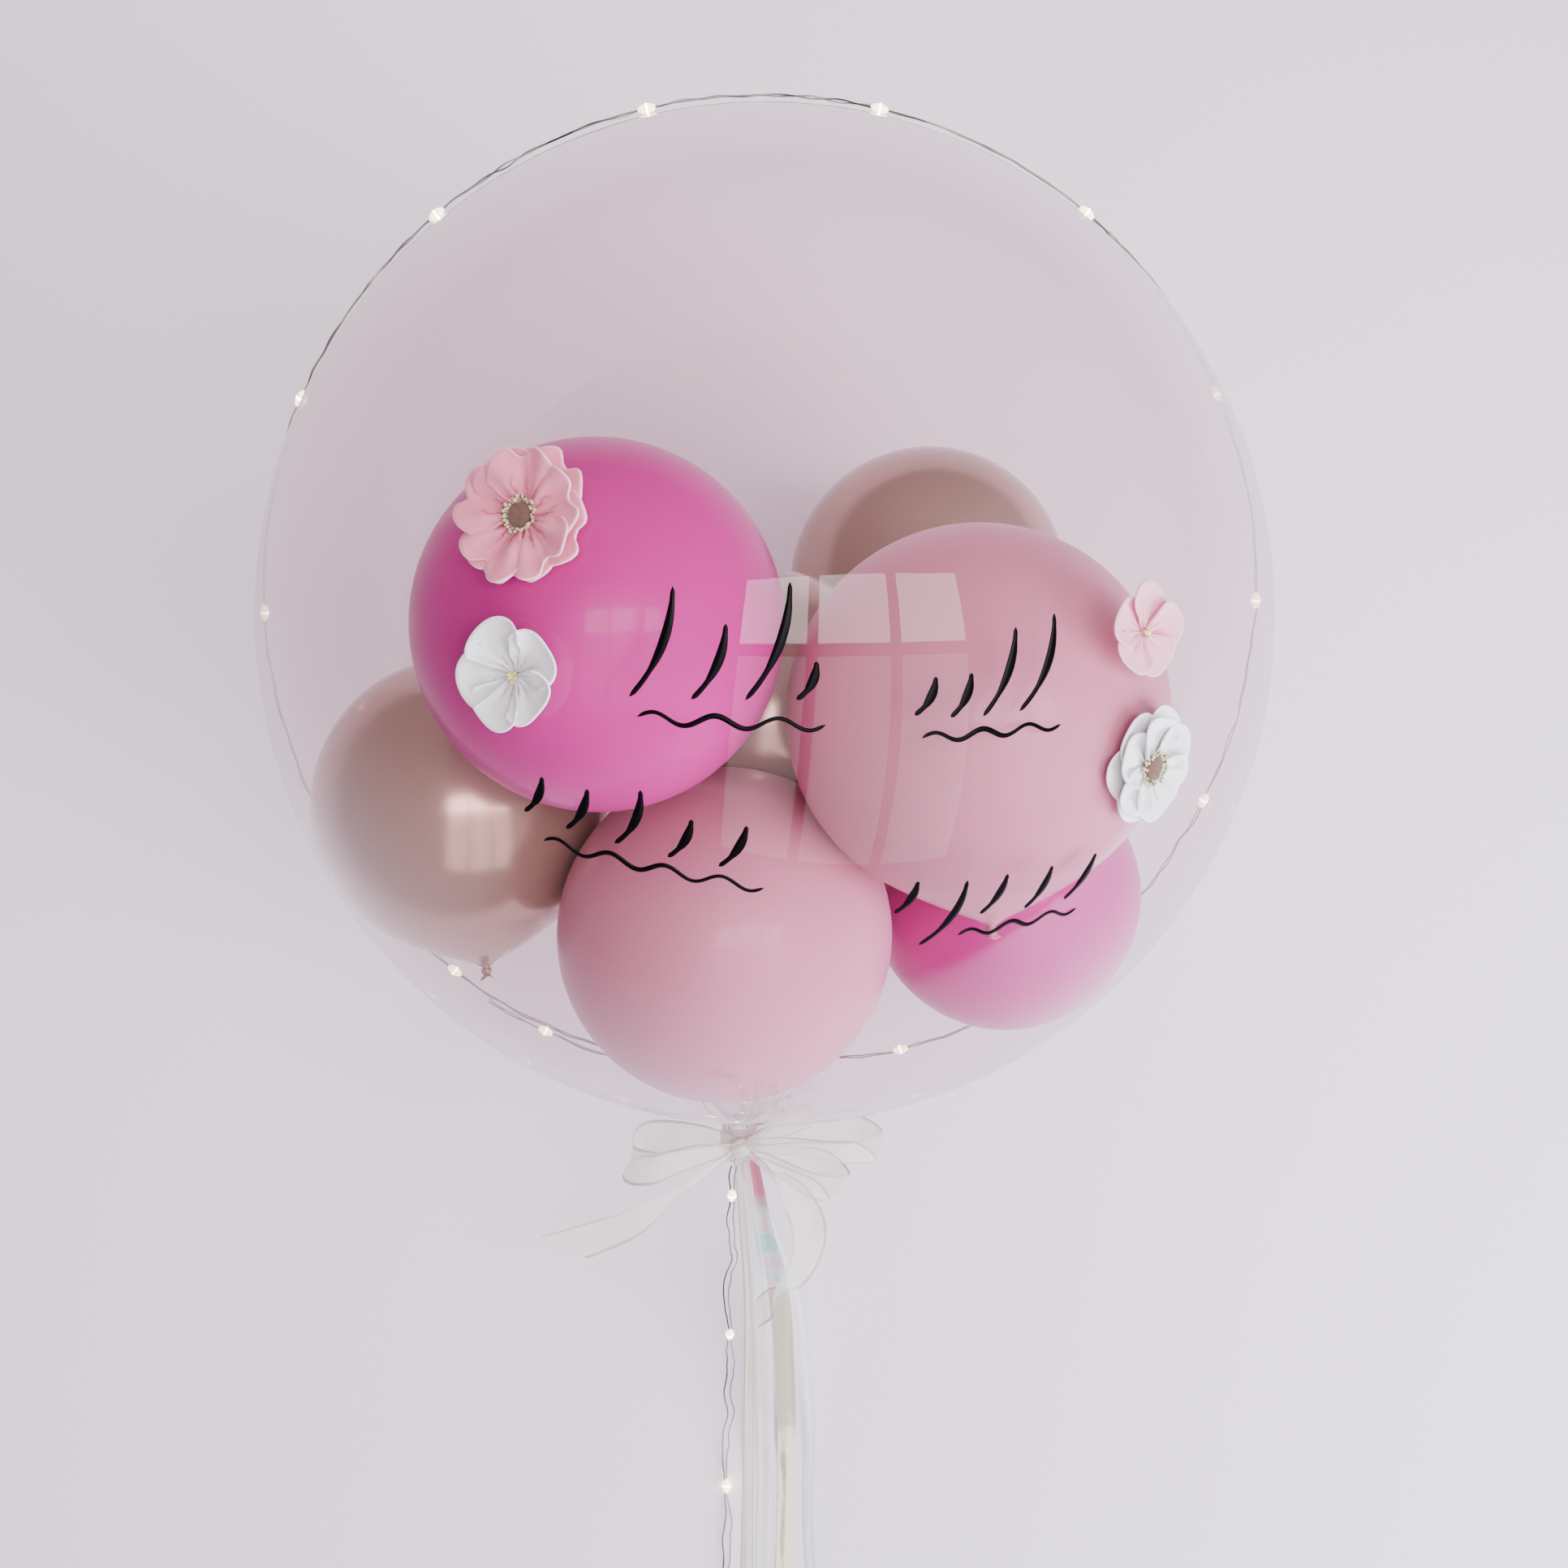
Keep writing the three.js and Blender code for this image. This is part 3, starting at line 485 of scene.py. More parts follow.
def film_rows(inset):
    """The film's rings from crown to neck, leaned and set down on the floor."""
    stations = []
    steps = [1.5 * k for k in range(1, 100)] + [150 + 1.2 * k for k in range(23)]
    for polar in [p for p in steps if p < neck_polar - 0.3] + [neck_polar]:
        reach = film_reach(polar)
        sine, cosine = math.sin(math.radians(polar)), math.cos(math.radians(polar))
        stations.append((reach * sine - inset * min(1, sine * 3), reach * cosine - inset * cosine, polar))
    if inset == 0:
        for ring, along in tied_end:
            stations.append((ring * mm, -along * mm, 180))
    rows = []
    for ring, along, polar in stations:
        gather = min(max((polar - pleats_start) / (pleats_full - pleats_start), 0), 1) ** 2
        row = []
        for turn in turns(girth_steps):
            pleats = 0.5 * math.sin(22 * turn + 1.3 * math.sin(3 * turn)) + 0.3 * math.sin(35 * turn + 1)
            swell = ring * (1 + 0.045 * gather * pleats)
            point = on_balloon(swell * math.sin(turn), along, swell * math.cos(turn))
            point.z = max(point.z, inset)
            row.append(point)
        rows.append(row)
    return rows


def capped(rows, crown, end):
    """Rings closed with a fan at the crown and one at the neck."""
    corners, faces, places = lattice(rows, round_rows=True)
    count = len(rows[0])
    crown_index, end_index = len(corners), len(corners) + 1
    last = len(corners) - count
    corners += [crown, end]
    places += [(0.5, 0), (0.5, 1)]
    for k in range(count):
        after = (k + 1) % count
        faces.append((crown_index, after, k))
        faces.append((end_index, last + k, last + after))
    return corners, faces, places


def inside_out(shape):
    """The same mesh with its faces turned to the other side."""
    corners, faces, places = shape
    return corners, [tuple(reversed(face)) for face in faces], places


outer_film = inside_out(
    capped(film_rows(0), on_balloon(0, bubble_radius, 0), on_balloon(0, -neck_end + 1 * mm, 0))
)
inner_film = capped(
    film_rows(film_thickness), on_balloon(0, bubble_radius - film_thickness, 0),
    on_balloon(0, -tie_distance - 1 * mm, 0),
)


def let_light_through(finish, veil):
    """Lets the light of the lamps fall straight through a clear finish, as it does through thin film."""
    tree = finish.node_tree
    path = tree.nodes.new("ShaderNodeLightPath")
    clear = fitted(tree, "BsdfTransparent", Color=veil)
    either = maths(tree, "MAXIMUM", path.outputs["Is Shadow Ray"], path.outputs["Is Diffuse Ray"])
    mix = fitted(tree, "MixShader", Fac=either)
    tree.links.new(tree.nodes["Principled BSDF"].outputs["BSDF"], mix.inputs[1])
    tree.links.new(clear.outputs["BSDF"], mix.inputs[2])
    tree.links.new(mix.outputs["Shader"], tree.nodes["Material Output"].inputs["Surface"])


clear_film = new_finish(
    "clear_stretch_film", (0.938, 0.852, 0.868), (0.928, 0.842, 0.860), 6, 18,
    Roughness=0.0, Transmission_Weight=1.0, IOR=1.24,
)
let_light_through(clear_film, (0.975, 0.955, 0.965, 1))

show("bubble_film", joined([outer_film, inner_film]), clear_film, ["bubble"])


# ---- Balloons in the bubble ------------------------------------------------------------------------
# Seven small latex balloons, blown to 13 to 15 cm and knotted, pushed in before the neck was tied: two
# hot pink, two light pink and three of a pearly rose gold. They press on each other and on the film.

inner_balloons = [
    ("hot_pink_upper_left", "hot_pink", (-70.6, 28.0, 132.6), 71.3, (0.25, 0.1, -1)),
    ("light_pink_right", "light_pink", (78.7, -2.8, 128.1), 75.6, (0.105, -0.945, 0.314)),
    ("light_pink_lower", "light_pink", (-16.1, -108.7, 106.8), 70.6, (0, -0.25, -0.97)),
    ("hot_pink_lower_right", "hot_pink", (112.3, -108.4, 51.4), 61.7, (-0.45, -0.1, -0.9)),
    ("rose_gold_left", "rose_gold", (-132.7, -74.4, 51.5), 65.5, (0.175, -0.933, 0.314)),
    ("rose_gold_upper_right", "rose_gold", (90.7, -2.0, -122.3), 73.2, (-0.5, -0.7, 0.5)),
    ("rose_gold_centre", "rose_gold", (2, -36, 20), 66, (-0.2, 0.1, -1)),
]
knot_rings = [(1.6, 0.5), (2.3, 1.2), (2.5, 2), (2.1, 2.9), (1.4, 3.5), (1.8, 4), (2.5, 4.7), (2.8, 5.2)]
balloon_sides = 72
body_rings = 55
body_step_degrees = 3.2
taper_start_degrees = 148
taper_stretch = 0.10
wall_gap = 0.7 * mm
press_gap = 0.15 * mm


def latex_balloon(centre, radius, to_knot, neighbours, seed):
    """A knotted balloon: a sphere that tapers to its knot, pressed flat where it meets the others."""
    axis = Vector(to_knot).normalized()
    aside = axis.orthogonal().normalized()
    beside = axis.cross(aside)
    stations = []
    for k in range(1, body_rings + 1):
        polar = body_step_degrees * k
        taper = max(0, (polar - taper_start_degrees) / (180 - taper_start_degrees))
        reach = radius * (1 + taper_stretch * taper**2.2)
        stations.append((reach * math.sin(math.radians(polar)), -reach * math.cos(math.radians(polar))))
    knot = radius * (1 + taper_stretch)
    for ring, ahead in knot_rings:
        stations.append((ring * mm, knot + ahead * mm))
    rows = []
    for i, (ring, ahead) in enumerate(stations):
        lip = max(0, i - body_rings - 1) / (len(knot_rings) - 1)
        row = []
        for turn in turns(balloon_sides):
            crumple = 1 + lip * 0.3 * math.sin(3 * turn + seed)
            out = (aside * math.cos(turn) + beside * math.sin(turn)) * ring * crumple
            row.append(centre + out + axis * (ahead + lip * 0.9 * mm * math.sin(2 * turn + seed)))
        rows.append(row)
    corners, faces, places = capped(rows, centre - axis * radius, centre + axis * (knot + 3.5 * mm))
    for corner in corners:
        for other, other_radius in neighbours:
            apart = (other - centre).length
            if apart >= radius + other_radius:
                continue
            toward = (other - centre) / apart
            wall = (apart**2 + radius**2 - other_radius**2) / (2 * apart) - press_gap
            over = (corner - centre).dot(toward) - wall
            if over > 0:
                corner -= toward * over
        if corner.length > bubble_radius - wall_gap:
            corner *= (bubble_radius - wall_gap) / corner.length
    return [lean @ corner for corner in corners], faces, places


def latex_finish(name, tint, deep_tint, rim_tint, metallic, roughness, coat):
    """Stretched latex: deeper towards the knot, with painted shade at the rim, where it is seen edge on."""
    finish = new_finish(
        name, tint, tuple(0.94 * c for c in tint), 9, 60, Metallic=metallic, Roughness=roughness,
        Coat_Weight=coat, Coat_Roughness=0.06, Specular_IOR_Level=0.16,
    )
    tree = finish.node_tree
    colour, base = base_colour(finish)
    _, _, along = sheet_place(tree)
    toward_knot = ranged(tree, along, 0.62, 0.93)
    toward_knot.node.interpolation_type = "SMOOTHSTEP"
    # The rim tint is painted shade, laid on where the surface turns edge on to the camera.
    edge = fitted(tree, "LayerWeight", Blend=0.2)
    deepened = tinted(tree, colour, toward_knot, deep_tint)
    tree.links.new(tinted(tree, deepened, edge.outputs["Facing"], rim_tint), base)
    return finish


# The third tint of each latex is its painted rim shade.
latex = {
    "hot_pink": latex_finish(
        "hot_pink_latex", (0.49, 0.016, 0.232), (0.42, 0.01, 0.185), (0.48, 0.022, 0.235), 0, 0.34, 0.12
    ),
    "light_pink": latex_finish(
        "light_pink_latex", (0.595, 0.215, 0.315), (0.53, 0.165, 0.25), (0.575, 0.215, 0.315), 0, 0.36, 0.14
    ),
    "rose_gold": latex_finish(
        "rose_gold_latex", (0.43, 0.27, 0.23), (0.36, 0.205, 0.17), (0.39, 0.25, 0.215), 0.5, 0.2, 0.2
    ),
}

balls = [(Vector(place) * mm, radius * mm) for _, _, place, radius, _ in inner_balloons]
for i, (name, colour, _, _, to_knot) in enumerate(inner_balloons):
    neighbours = [ball for k, ball in enumerate(balls) if k != i]
    shape = latex_balloon(*balls[i], to_knot, neighbours, i)
    show("inner_balloon_" + name, shape, latex[colour])


# ---- Light string round the girth ------------------------------------------------------------------
# The same two fine wires, one enamelled and one bare, led from the neck once round the girth and on past
# the start. They rest on the film by their lamps: sixteen drops of resin about ten centimetres apart.

ring_lamp_pitch_degrees = 24.8
first_lamp_degrees = -166.4
ring_lamp_count = 16
wire_ride = 2.7 * mm
ring_step_back = 27 * mm
second_pass_aside = 6 * mm
ring_lead_in = 55 * mm
ring_twisted_end = 32 * mm


def on_girth(degrees, aside):
    """A point of the ring: degrees from the crown towards +X, and a step aside along the front axis."""
    tilt = math.asin(aside / bubble_radius)
    turn = math.radians(degrees)
    toward = Vector((math.sin(turn) * math.cos(tilt), math.cos(turn) * math.cos(tilt), math.sin(tilt)))
    return toward * (film_reach(math.degrees(toward.angle(Vector((0, 1, 0))))) + wire_ride)


def outward_of(point, heading):
    """Straight off the film at a point, square to the wire there."""
    away = point - lean.translation
    return (away - heading * away.dot(heading)).normalized()


def ring_route():
    """From the neck once round the girth, behind the neck where it passes it, and a little on."""
    last_lamp = first_lamp_degrees + ring_lamp_pitch_degrees * (ring_lamp_count - 1)
    wire_end = last_lamp + 8
    route = [Vector((-13.5, -254.5, 5)) * mm, on_girth(-174.2, 5 * mm), on_girth(-172, 3 * mm)]
    degrees = -168
    while degrees < wire_end:
        past_neck = eased((degrees - 184) / 14)
        behind = -ring_step_back * math.exp(-(((degrees - 180) / 12) ** 2))
        route.append(on_girth(degrees, behind * (1 - past_neck) + second_pass_aside * past_neck))
        degrees += 4
    route.append(on_girth(wire_end, second_pass_aside))
    return [lean @ point for point in route]


ring_line = smooth_line(ring_route(), 1.6 * mm)
ring_length = (ring_line[1] - ring_line[0]).length * (len(ring_line) - 1)
ring_pitch = (ring_length - ring_lead_in - ring_twisted_end) / (ring_lamp_count - 1)
ring_lamps = [ring_lead_in + k * ring_pitch for k in range(ring_lamp_count)]
ring_wires = pair_of_wires(ring_line, ring_lamps, 1.0 * mm, 1, outward_of)
ring_drops, ring_chips = lamps_on(ring_line, ring_lamps)
ring_wire, second_ring_wire = (round_wire(line, wire_radius) for line in ring_wires)
show("light_string_ring_wire", ring_wire, enamelled_wire, ["light_string_ring"])
show("light_string_ring_second_wire", second_ring_wire, silver_wire)
show("light_string_ring_lamps", ring_drops, clear_resin)
show("light_string_ring_lamp_chips", ring_chips, glowing_chip)


# ---- Brush strokes ---------------------------------------------------------------------------------
# Four rows of short tapered dabs with a wave drawn under each, cut from glossy black vinyl film and
# pressed on the front of the bubble.

vinyl_seat = 0.12 * mm
vinyl_crown = 0.42 * mm
vinyl_profile = [
    (-1, vinyl_seat), (-0.82, vinyl_crown), (0, vinyl_crown), (0.82, vinyl_crown), (1, vinyl_seat),
]
rounded_ends = 2.2
dab_steps = 28
wave_steps = 16
stroke_rows = [
    ("upper_left", -5.8, 10.4,
     [(-21, 21, -33, -17, 4), (-2, 10, -12, -16, 3), (19, 25, 6, -15, 4), (29, -1, 23, -14, 2)],
     (-30, 33, -23, 0.02, 2, 3)),
    ("upper_right", 17.9, 8.7,
     [(-22, 1, -29, -12, 2), (-9, 2, -16, -13, 2), (8, 17, -4, -13, 3), (24, 21, 10, -12, 4)],
     (-26, 27, -19, 0.04, 1.6, 3)),
    ("lower_left", -12, -5.4,
     [(-40, 13, -47, -1, 2), (-23, 11, -31, -5, 2), (-4, 13, -13, -8, 3), (14, 4, 6, -11, 2),
      (33, 3, 24, -13, 2)],
     (-40, 40, -16, -0.12, 2, 4)),
    ("lower_right", 20.5, -11.5,
     [(-32, 6, -39, -7, 2), (-13, 5, -27, -22, 4), (3, 6, -5, -10, 2), (22, 7, 14, -10, 2),
      (42, 9, 32, -9, 2)],
     (-12, 40, -18, 0.08, 1.8, 3)),
]

black_vinyl = new_finish(
    "black_vinyl_film", (0.0008, 0.0008, 0.0014), (0.0014, 0.0013, 0.0022), 40, 700, bump=0.015,
    Roughness=0.3, Specular_IOR_Level=0.07,
)


def over_film(longitude, latitude, height):
    """A point over the film, by degrees from the front and from the girth, in the balloon's frame."""
    lon, lat = math.radians(longitude), math.radians(latitude)
    reach = bubble_radius + height
    return Vector((math.sin(lon) * math.cos(lat), math.sin(lat), math.cos(lon) * math.cos(lat))) * reach


def stroke(longitude, latitude, path, widest, narrowest):
    """A flat stroke that follows the film and swells in its belly, its path in millimetres."""
    last = len(path) - 1
    rows = []
    for i, point in enumerate(path):
        along = (path[min(i + 1, last)] - path[max(i - 1, 0)]).normalized()
        belly = max(0, math.sin(math.pi * min(1, i / last * 1.15 + 0.02))) ** 0.8
        half = 0.5 * max(narrowest, widest * belly)
        to_end = min(i, last - i)
        if to_end < rounded_ends:
            half *= min(1, math.sqrt(max(0.02, 1 - (1 - to_end / rounded_ends) ** 2)))
        row = []
        for share, height in vinyl_profile:
            x = point.x - along.y * half * share
            y = point.y + along.x * half * share
            lon = longitude + math.degrees(x * mm / (bubble_radius * math.cos(math.radians(latitude))))
            row.append(lean @ over_film(lon, latitude + math.degrees(y * mm / bubble_radius), height))
        rows.append(row)
    return lattice(rows)


for name, longitude, latitude, dabs, wave in stroke_rows:
    for k, (from_x, from_y, to_x, to_y, bend) in enumerate(dabs):
        start, stop = Vector((from_x, from_y, 0)), Vector((to_x, to_y, 0))
        along = (stop - start).normalized()
        middle = (start + stop) / 2 + Vector((-along.y, along.x, 0)) * bend * 2
        shares = [i / dab_steps for i in range(dab_steps + 1)]
        path = [start.lerp(middle, t).lerp(middle.lerp(stop, t), t) for t in shares]
        shape = stroke(longitude, latitude, path, 3.4, 1.8)
        show(f"brush_dab_{name}_{k + 1}", shape, black_vinyl, [f"vinyl_dab_{name}_{k + 1}"])
    left, right, level, slope, swell, waves = wave
    path = []
    for i in range(waves * wave_steps + 1):
        x = left + (right - left) * i / (waves * wave_steps)
        path.append(Vector((x, level + slope * x + swell * math.sin(2 * math.pi * i / wave_steps), 0)))
    shape = stroke(longitude, latitude, path, 2.0, 1.4)
    show("brush_wave_" + name, shape, black_vinyl, ["vinyl_wave_" + name])


# ---- Foam flowers ----------------------------------------------------------------------------------
# Petals are cut from thin craft foam and pressed to shape with heat, then glued in whorls: two anemones
# of two whorls with felt buttons and paper stamens, and two frangipanis with a small yellow heart.

first_base, second_base, heart_base = 0.4 * mm, 2.1 * mm, 3.8 * mm
foam_thickness = 0.7 * mm


# Where a petal is shaded by its folds, where its thin veins run and where its cut rim is.
petal_marks, given, result = new_group(
    "petal_marks", {"Reach": "Float"}, {"Shade": "Float", "Vein": "Float", "Rim": "Float"}
)
place, across, along = sheet_place(petal_marks)
wander = fitted(petal_marks, "TexNoise", Vector=place, Scale=6)
sway = maths(petal_marks, "MULTIPLY", wander.outputs["Fac"], 5.0)
swayed = maths(petal_marks, "ADD", maths(petal_marks, "MULTIPLY", across, 25.1), sway)
stripes = maths(petal_marks, "COSINE", swayed)
folds = ranged(petal_marks, stripes, -0.4, 1, 0.15, 1)
deep = ranged(petal_marks, along, 0.0, 0.8, 1, 0)
veins = ranged(petal_marks, stripes, 0.93, 0.99)
inward = ranged(petal_marks, along, 0.28, given.outputs["Reach"], 1, 0)
petal_marks.links.new(maths(petal_marks, "MULTIPLY", folds, deep), result.inputs["Shade"])
petal_marks.links.new(maths(petal_marks, "MULTIPLY", veins, inward), result.inputs["Vein"])
petal_marks.links.new(ranged(petal_marks, along, 0.965, 0.995), result.inputs["Rim"])


def foam_finish(name, tint, other_tint, shade_tint, vein_tint, rim_tint, vein_reach):
    """Pressed foam: shaded in its folds, veined towards the flower's middle, and pale on its cut rim."""
    finish = new_finish(
        name, tint, other_tint, 110, 1500, bump=0.35, relief=0.15 * mm, Roughness=0.75, Sheen_Weight=0.1
    )
    tree = finish.node_tree
    colour, base = base_colour(finish)
    marks = fitted(tree, "Group", petal_marks, Reach=vein_reach)
    for mark, mark_tint in (("Shade", shade_tint), ("Vein", vein_tint), ("Rim", rim_tint)):
        colour = tinted(tree, colour, marks.outputs[mark], mark_tint)
    tree.links.new(colour, base)
    return finish


pink_foam = foam_finish(
    "pink_craft_foam", (0.82, 0.255, 0.37), (0.78, 0.22, 0.335), (0.56, 0.105, 0.20), (0.26, 0.01, 0.05),
    (0.90, 0.52, 0.62), 0.6,
)
pale_pink_foam = foam_finish(
    "pale_pink_craft_foam", (0.88, 0.40, 0.53), (0.85, 0.36, 0.49), (0.78, 0.26, 0.38), (0.36, 0.02, 0.08),
    (0.90, 0.52, 0.63), 0.5,
)
white_foam = foam_finish(
    "white_craft_foam", (0.90, 0.86, 0.89), (0.86, 0.82, 0.86), (0.56, 0.52, 0.56), (0.26, 0.23, 0.26),
    (0.92, 0.88, 0.91), 0.45,
)

stamen_paper = new_finish(
    "stamen_paper", (0.72, 0.67, 0.38), (0.52, 0.50, 0.24), 700, 2500, bump=0.5, Roughness=0.85
)
stamen_speck = new_finish(
    "stamen_speck", (0.05, 0.04, 0.03), (0.12, 0.10, 0.06), 900, 2500, bump=0.4, Roughness=0.7
)
brown_felt = new_finish(
    "felt_of_the_buttons", (0.155, 0.078, 0.060), (0.12, 0.06, 0.046), 500, 3200, bump=0.7, relief=0.25 * mm,
    Roughness=0.9, Sheen_Weight=0.2,
)
heart_yellow = new_finish(
    "heart_yellow", (0.80, 0.72, 0.33), (0.72, 0.60, 0.25), 400, 2500, bump=0.5, Roughness=0.8
)


def flower_frame(longitude, latitude, turn):
    """From a flower's own frame, its face along Z, to its place on the leaned bubble."""
    place = over_film(longitude, latitude, 0)
    stand = Vector((0, 0, 1)).rotation_difference(place.normalized()).to_matrix().to_4x4()
    return lean @ Matrix.Translation(place) @ stand @ Matrix.Rotation(math.radians(turn), 4, "Z")


def petal(length, half_width, base, lift, cup, curl, twist, notch, crumple, seed, columns=32, rows=14):
    """One pressed petal along +X, spread from its narrow foot to a round outline and lapped at one side."""
    sheet = []
    for i in range(rows + 1):
        r = i / rows
        row = []
        for j in range(columns + 1):
            s = -1 + 2 * j / columns
            turn = s * math.radians(105)
            dip = 1 - notch * math.exp(-((s / 0.15) ** 2))
            wave = 1 + 0.03 * math.sin(5.3 * s + 2.9 * seed)
            out = 0.08 + 0.92 * r
            x = length * (0.58 + 0.42 * math.cos(turn)) * dip * wave * out
            y = half_width * math.sin(turn) * wave * out * (0.72 + 0.28 * min(1, r * 1.6))
            raised = eased((r - 0.12) / 0.45)
            if notch:
                swell = 0.5 - 0.5 * math.cos(2 * math.pi * s)
                groove = 1.3 * mm * math.exp(-((s / 0.06) ** 2)) * raised
            else:
                swell = s * s * raised + 0.25 * math.cos(math.pi * s / 2)
                groove = 0.8 * mm * math.exp(-((s / 0.05) ** 2)) * max(0, 1 - r / 0.7)
            rise = lift * r**1.7 + cup * swell * raised - groove
            rise += curl * max(0, r - 0.72) ** 1.5 * 5 * (0.7 + 0.5 * math.sin(2.1 * s + seed))
            rise += twist * s * min(1, 0.25 + 1.8 * r)
            rise += crumple * noise.noise(Vector((s * 1.8 + seed, r * 2.4, seed * 3.1)))
            rise += 0.35 * crumple * math.sin(11 * s + seed) * math.exp(-(((r - 0.35) / 0.25) ** 2))
            row.append(Vector((x, y, max(base + rise, base * 0.5))))
        sheet.append(row)
    return lattice(sheet)


def petal_shape(length, half_width, lift, cup, curl, twist, crumple, notch=0.0):
    """A petal's measures, given in millimetres but for its notch, which is a share of its length."""
    given_mm = dict(
        length=length, half_width=half_width, lift=lift, cup=cup, curl=curl, twist=twist, crumple=crumple
    )
    return {name: value * mm for name, value in given_mm.items()} | {"notch": notch}


def whorl(count, turned, stand, **shape):
    """A ring of petals, each a little different and lapped over the next one."""
    parts = []
    for k in range(count):
        own = dict(shape)
        seed = shape["seed"] + 1.7 * k
        own["seed"] = seed
        own["length"] *= 1 + 0.05 * math.sin(3.1 * seed)
        own["lift"] *= 1 + 0.25 * math.sin(2.3 * seed)
        corners, faces, places = petal(**own)
        place = stand @ Matrix.Rotation(2 * math.pi * k / count + turned + 0.05 * math.sin(5 * seed), 4, "Z")
        parts.append(([place @ corner for corner in corners], faces, places))
    return joined(parts)


def show_petals(name, shape, finish, node):
    """Shows a whorl, the foam's thickness under it: its roots reach half a millimetre into the film."""
    thing = show(name, shape, finish, [node])
    thickness = thing.modifiers.new("foam_thickness", "SOLIDIFY")
    thickness.thickness = foam_thickness
    thickness.offset = 1
    return thing


def knobs(stand, count, ring, height, size, seed):
    """A crowded ring of little crumpled knobs on short stalks."""
    chance = random.Random(seed)
    parts = []
    for k in range(count):
        turn = 2 * math.pi * (k + chance.uniform(-0.35, 0.35)) / count
        reach = ring + chance.uniform(-0.7, 0.9) * mm
        toward, up = Vector((math.cos(turn), math.sin(turn), 0)), Vector((0, 0, 1))
        foot = toward * (ring - 1.6 * mm) + up * (height - 0.8 * mm)
        tip = toward * reach + up * (height + chance.uniform(0.3, 1.5) * mm)
        head = size * chance.uniform(0.75, 1.25)
        line = [foot.lerp(tip, t) for t in (0, 0.45, 0.7, 0.85, 1.0)]
        line.append(tip + (tip - foot).normalized() * head * 0.8)
        radii = [0.16 * mm, 0.14 * mm, 0.2 * mm, head * 0.8, head, head * 0.35]
        corners, faces, places = round_wire([stand @ point for point in line], radii, 7)
        parts.append((corners, faces, places))
    return joined(parts)


button_crown = [(0, 0.96), (0.35, 1.0), (0.62, 0.97), (0.85, 0.82), (0.96, 0.6), (1.0, 0.35), (1.0, 0.12)]
button_sides = 28


def felt_button(stand, radius, base, height):
    """A low round button, crowned on top and a little uneven at its rim."""
    rows = []
    for level, reach in button_crown:
        ring = []
        for turn in turns(button_sides):
            out = radius * reach * (1 + 0.02 * math.sin(5 * turn))
            ring.append(stand @ Vector((out * math.cos(turn), out * math.sin(turn), base + height * level)))
        rows.append(ring)
    return closed_rings(rows)


def show_anemone(name, stand, finish, count, outer, inner, button_radius, seed):
    """Two whorls of petals, one turned half a step over the other, with stamens round a felt button."""
    outer_ring = whorl(count, 0.0, stand, base=first_base, seed=seed, **outer)
    inner_ring = whorl(count, math.pi / count, stand, base=second_base, seed=seed + 4.4, **inner)
    show_petals(name + "_lower_whorl", outer_ring, finish, name + "_outer_petals")
    show_petals(name + "_upper_whorl", inner_ring, finish, name + "_inner_petals")
    stamens = knobs(stand, 44, button_radius + 1.3 * mm, heart_base + 0.5 * mm, 0.62 * mm, seed)
    show(name + "_stamens", stamens, stamen_paper, [name + "_stamen_ring"])
    specks = knobs(stand, 17, button_radius + 1.6 * mm, heart_base + 0.9 * mm, 0.34 * mm, seed + 1)
    show(name + "_stamen_specks", specks, stamen_speck)
    felt = felt_button(stand, button_radius, heart_base, 1.9 * mm)
    show(name + "_felt_button", felt, brown_felt, [name + "_button"])


def show_frangipani(name, stand, finish, petals, seed):
    """One whorl of five petals with a small crumpled heart."""
    ring = whorl(5, math.pi / 5, stand, base=first_base, seed=seed, **petals)
    show_petals(name + "_whorl", ring, finish, name + "_petals")
    heart = knobs(stand, 9, 1.5 * mm, 1.9 * mm, 0.75 * mm, seed)
    centre = felt_button(stand, 1.2 * mm, 1.8 * mm, 1.7 * mm)
    show(name + "_heart", joined([heart, centre]), heart_yellow, [name + "_yellow_heart"])


show_anemone(
    "pink_anemone", flower_frame(-26, 20.2, 20 - 36), pink_foam, 5,
    petal_shape(
        length=25.4, half_width=13.6, lift=1.2, cup=1.6, curl=0.6, twist=0.5, crumple=0.8, notch=0.20,
    ),
    petal_shape(
        length=24.0, half_width=13.0, lift=2.6, cup=2.6, curl=0.8, twist=0.9, crumple=1.0, notch=0.20,
    ),
    4.4 * mm, 3,
)
show_anemone(
    "white_anemone", flower_frame(35.9, -1, 5), white_foam, 6,
    petal_shape(length=22.4, half_width=10.4, lift=1.0, cup=1.0, curl=1.2, twist=0.7, crumple=0.7),
    petal_shape(length=20.0, half_width=9.5, lift=2.6, cup=1.8, curl=2.0, twist=1.0, crumple=0.9),
    4.3 * mm, 11,
)
show_frangipani(
    "white_frangipani", flower_frame(-25.1, 6.6, 38 - 36), white_foam,
    petal_shape(length=19.2, half_width=10.3, lift=4.2, cup=2.8, curl=3.0, twist=1.5, crumple=0.9), 21,
)
show_frangipani(
    "pink_frangipani", flower_frame(34.7, 11.6, 12 - 36), pale_pink_foam,
    petal_shape(length=17.4, half_width=8.9, lift=2.0, cup=0.6, curl=0.6, twist=1.2, crumple=0.6), 31,
)


# ---- Organza bow -----------------------------------------------------------------------------------
# One length of sheer cream organza ribbon, about 20 mm wide with corded edges, wound twice round the
# neck and tied in four loops and two tails, both cut aslant.

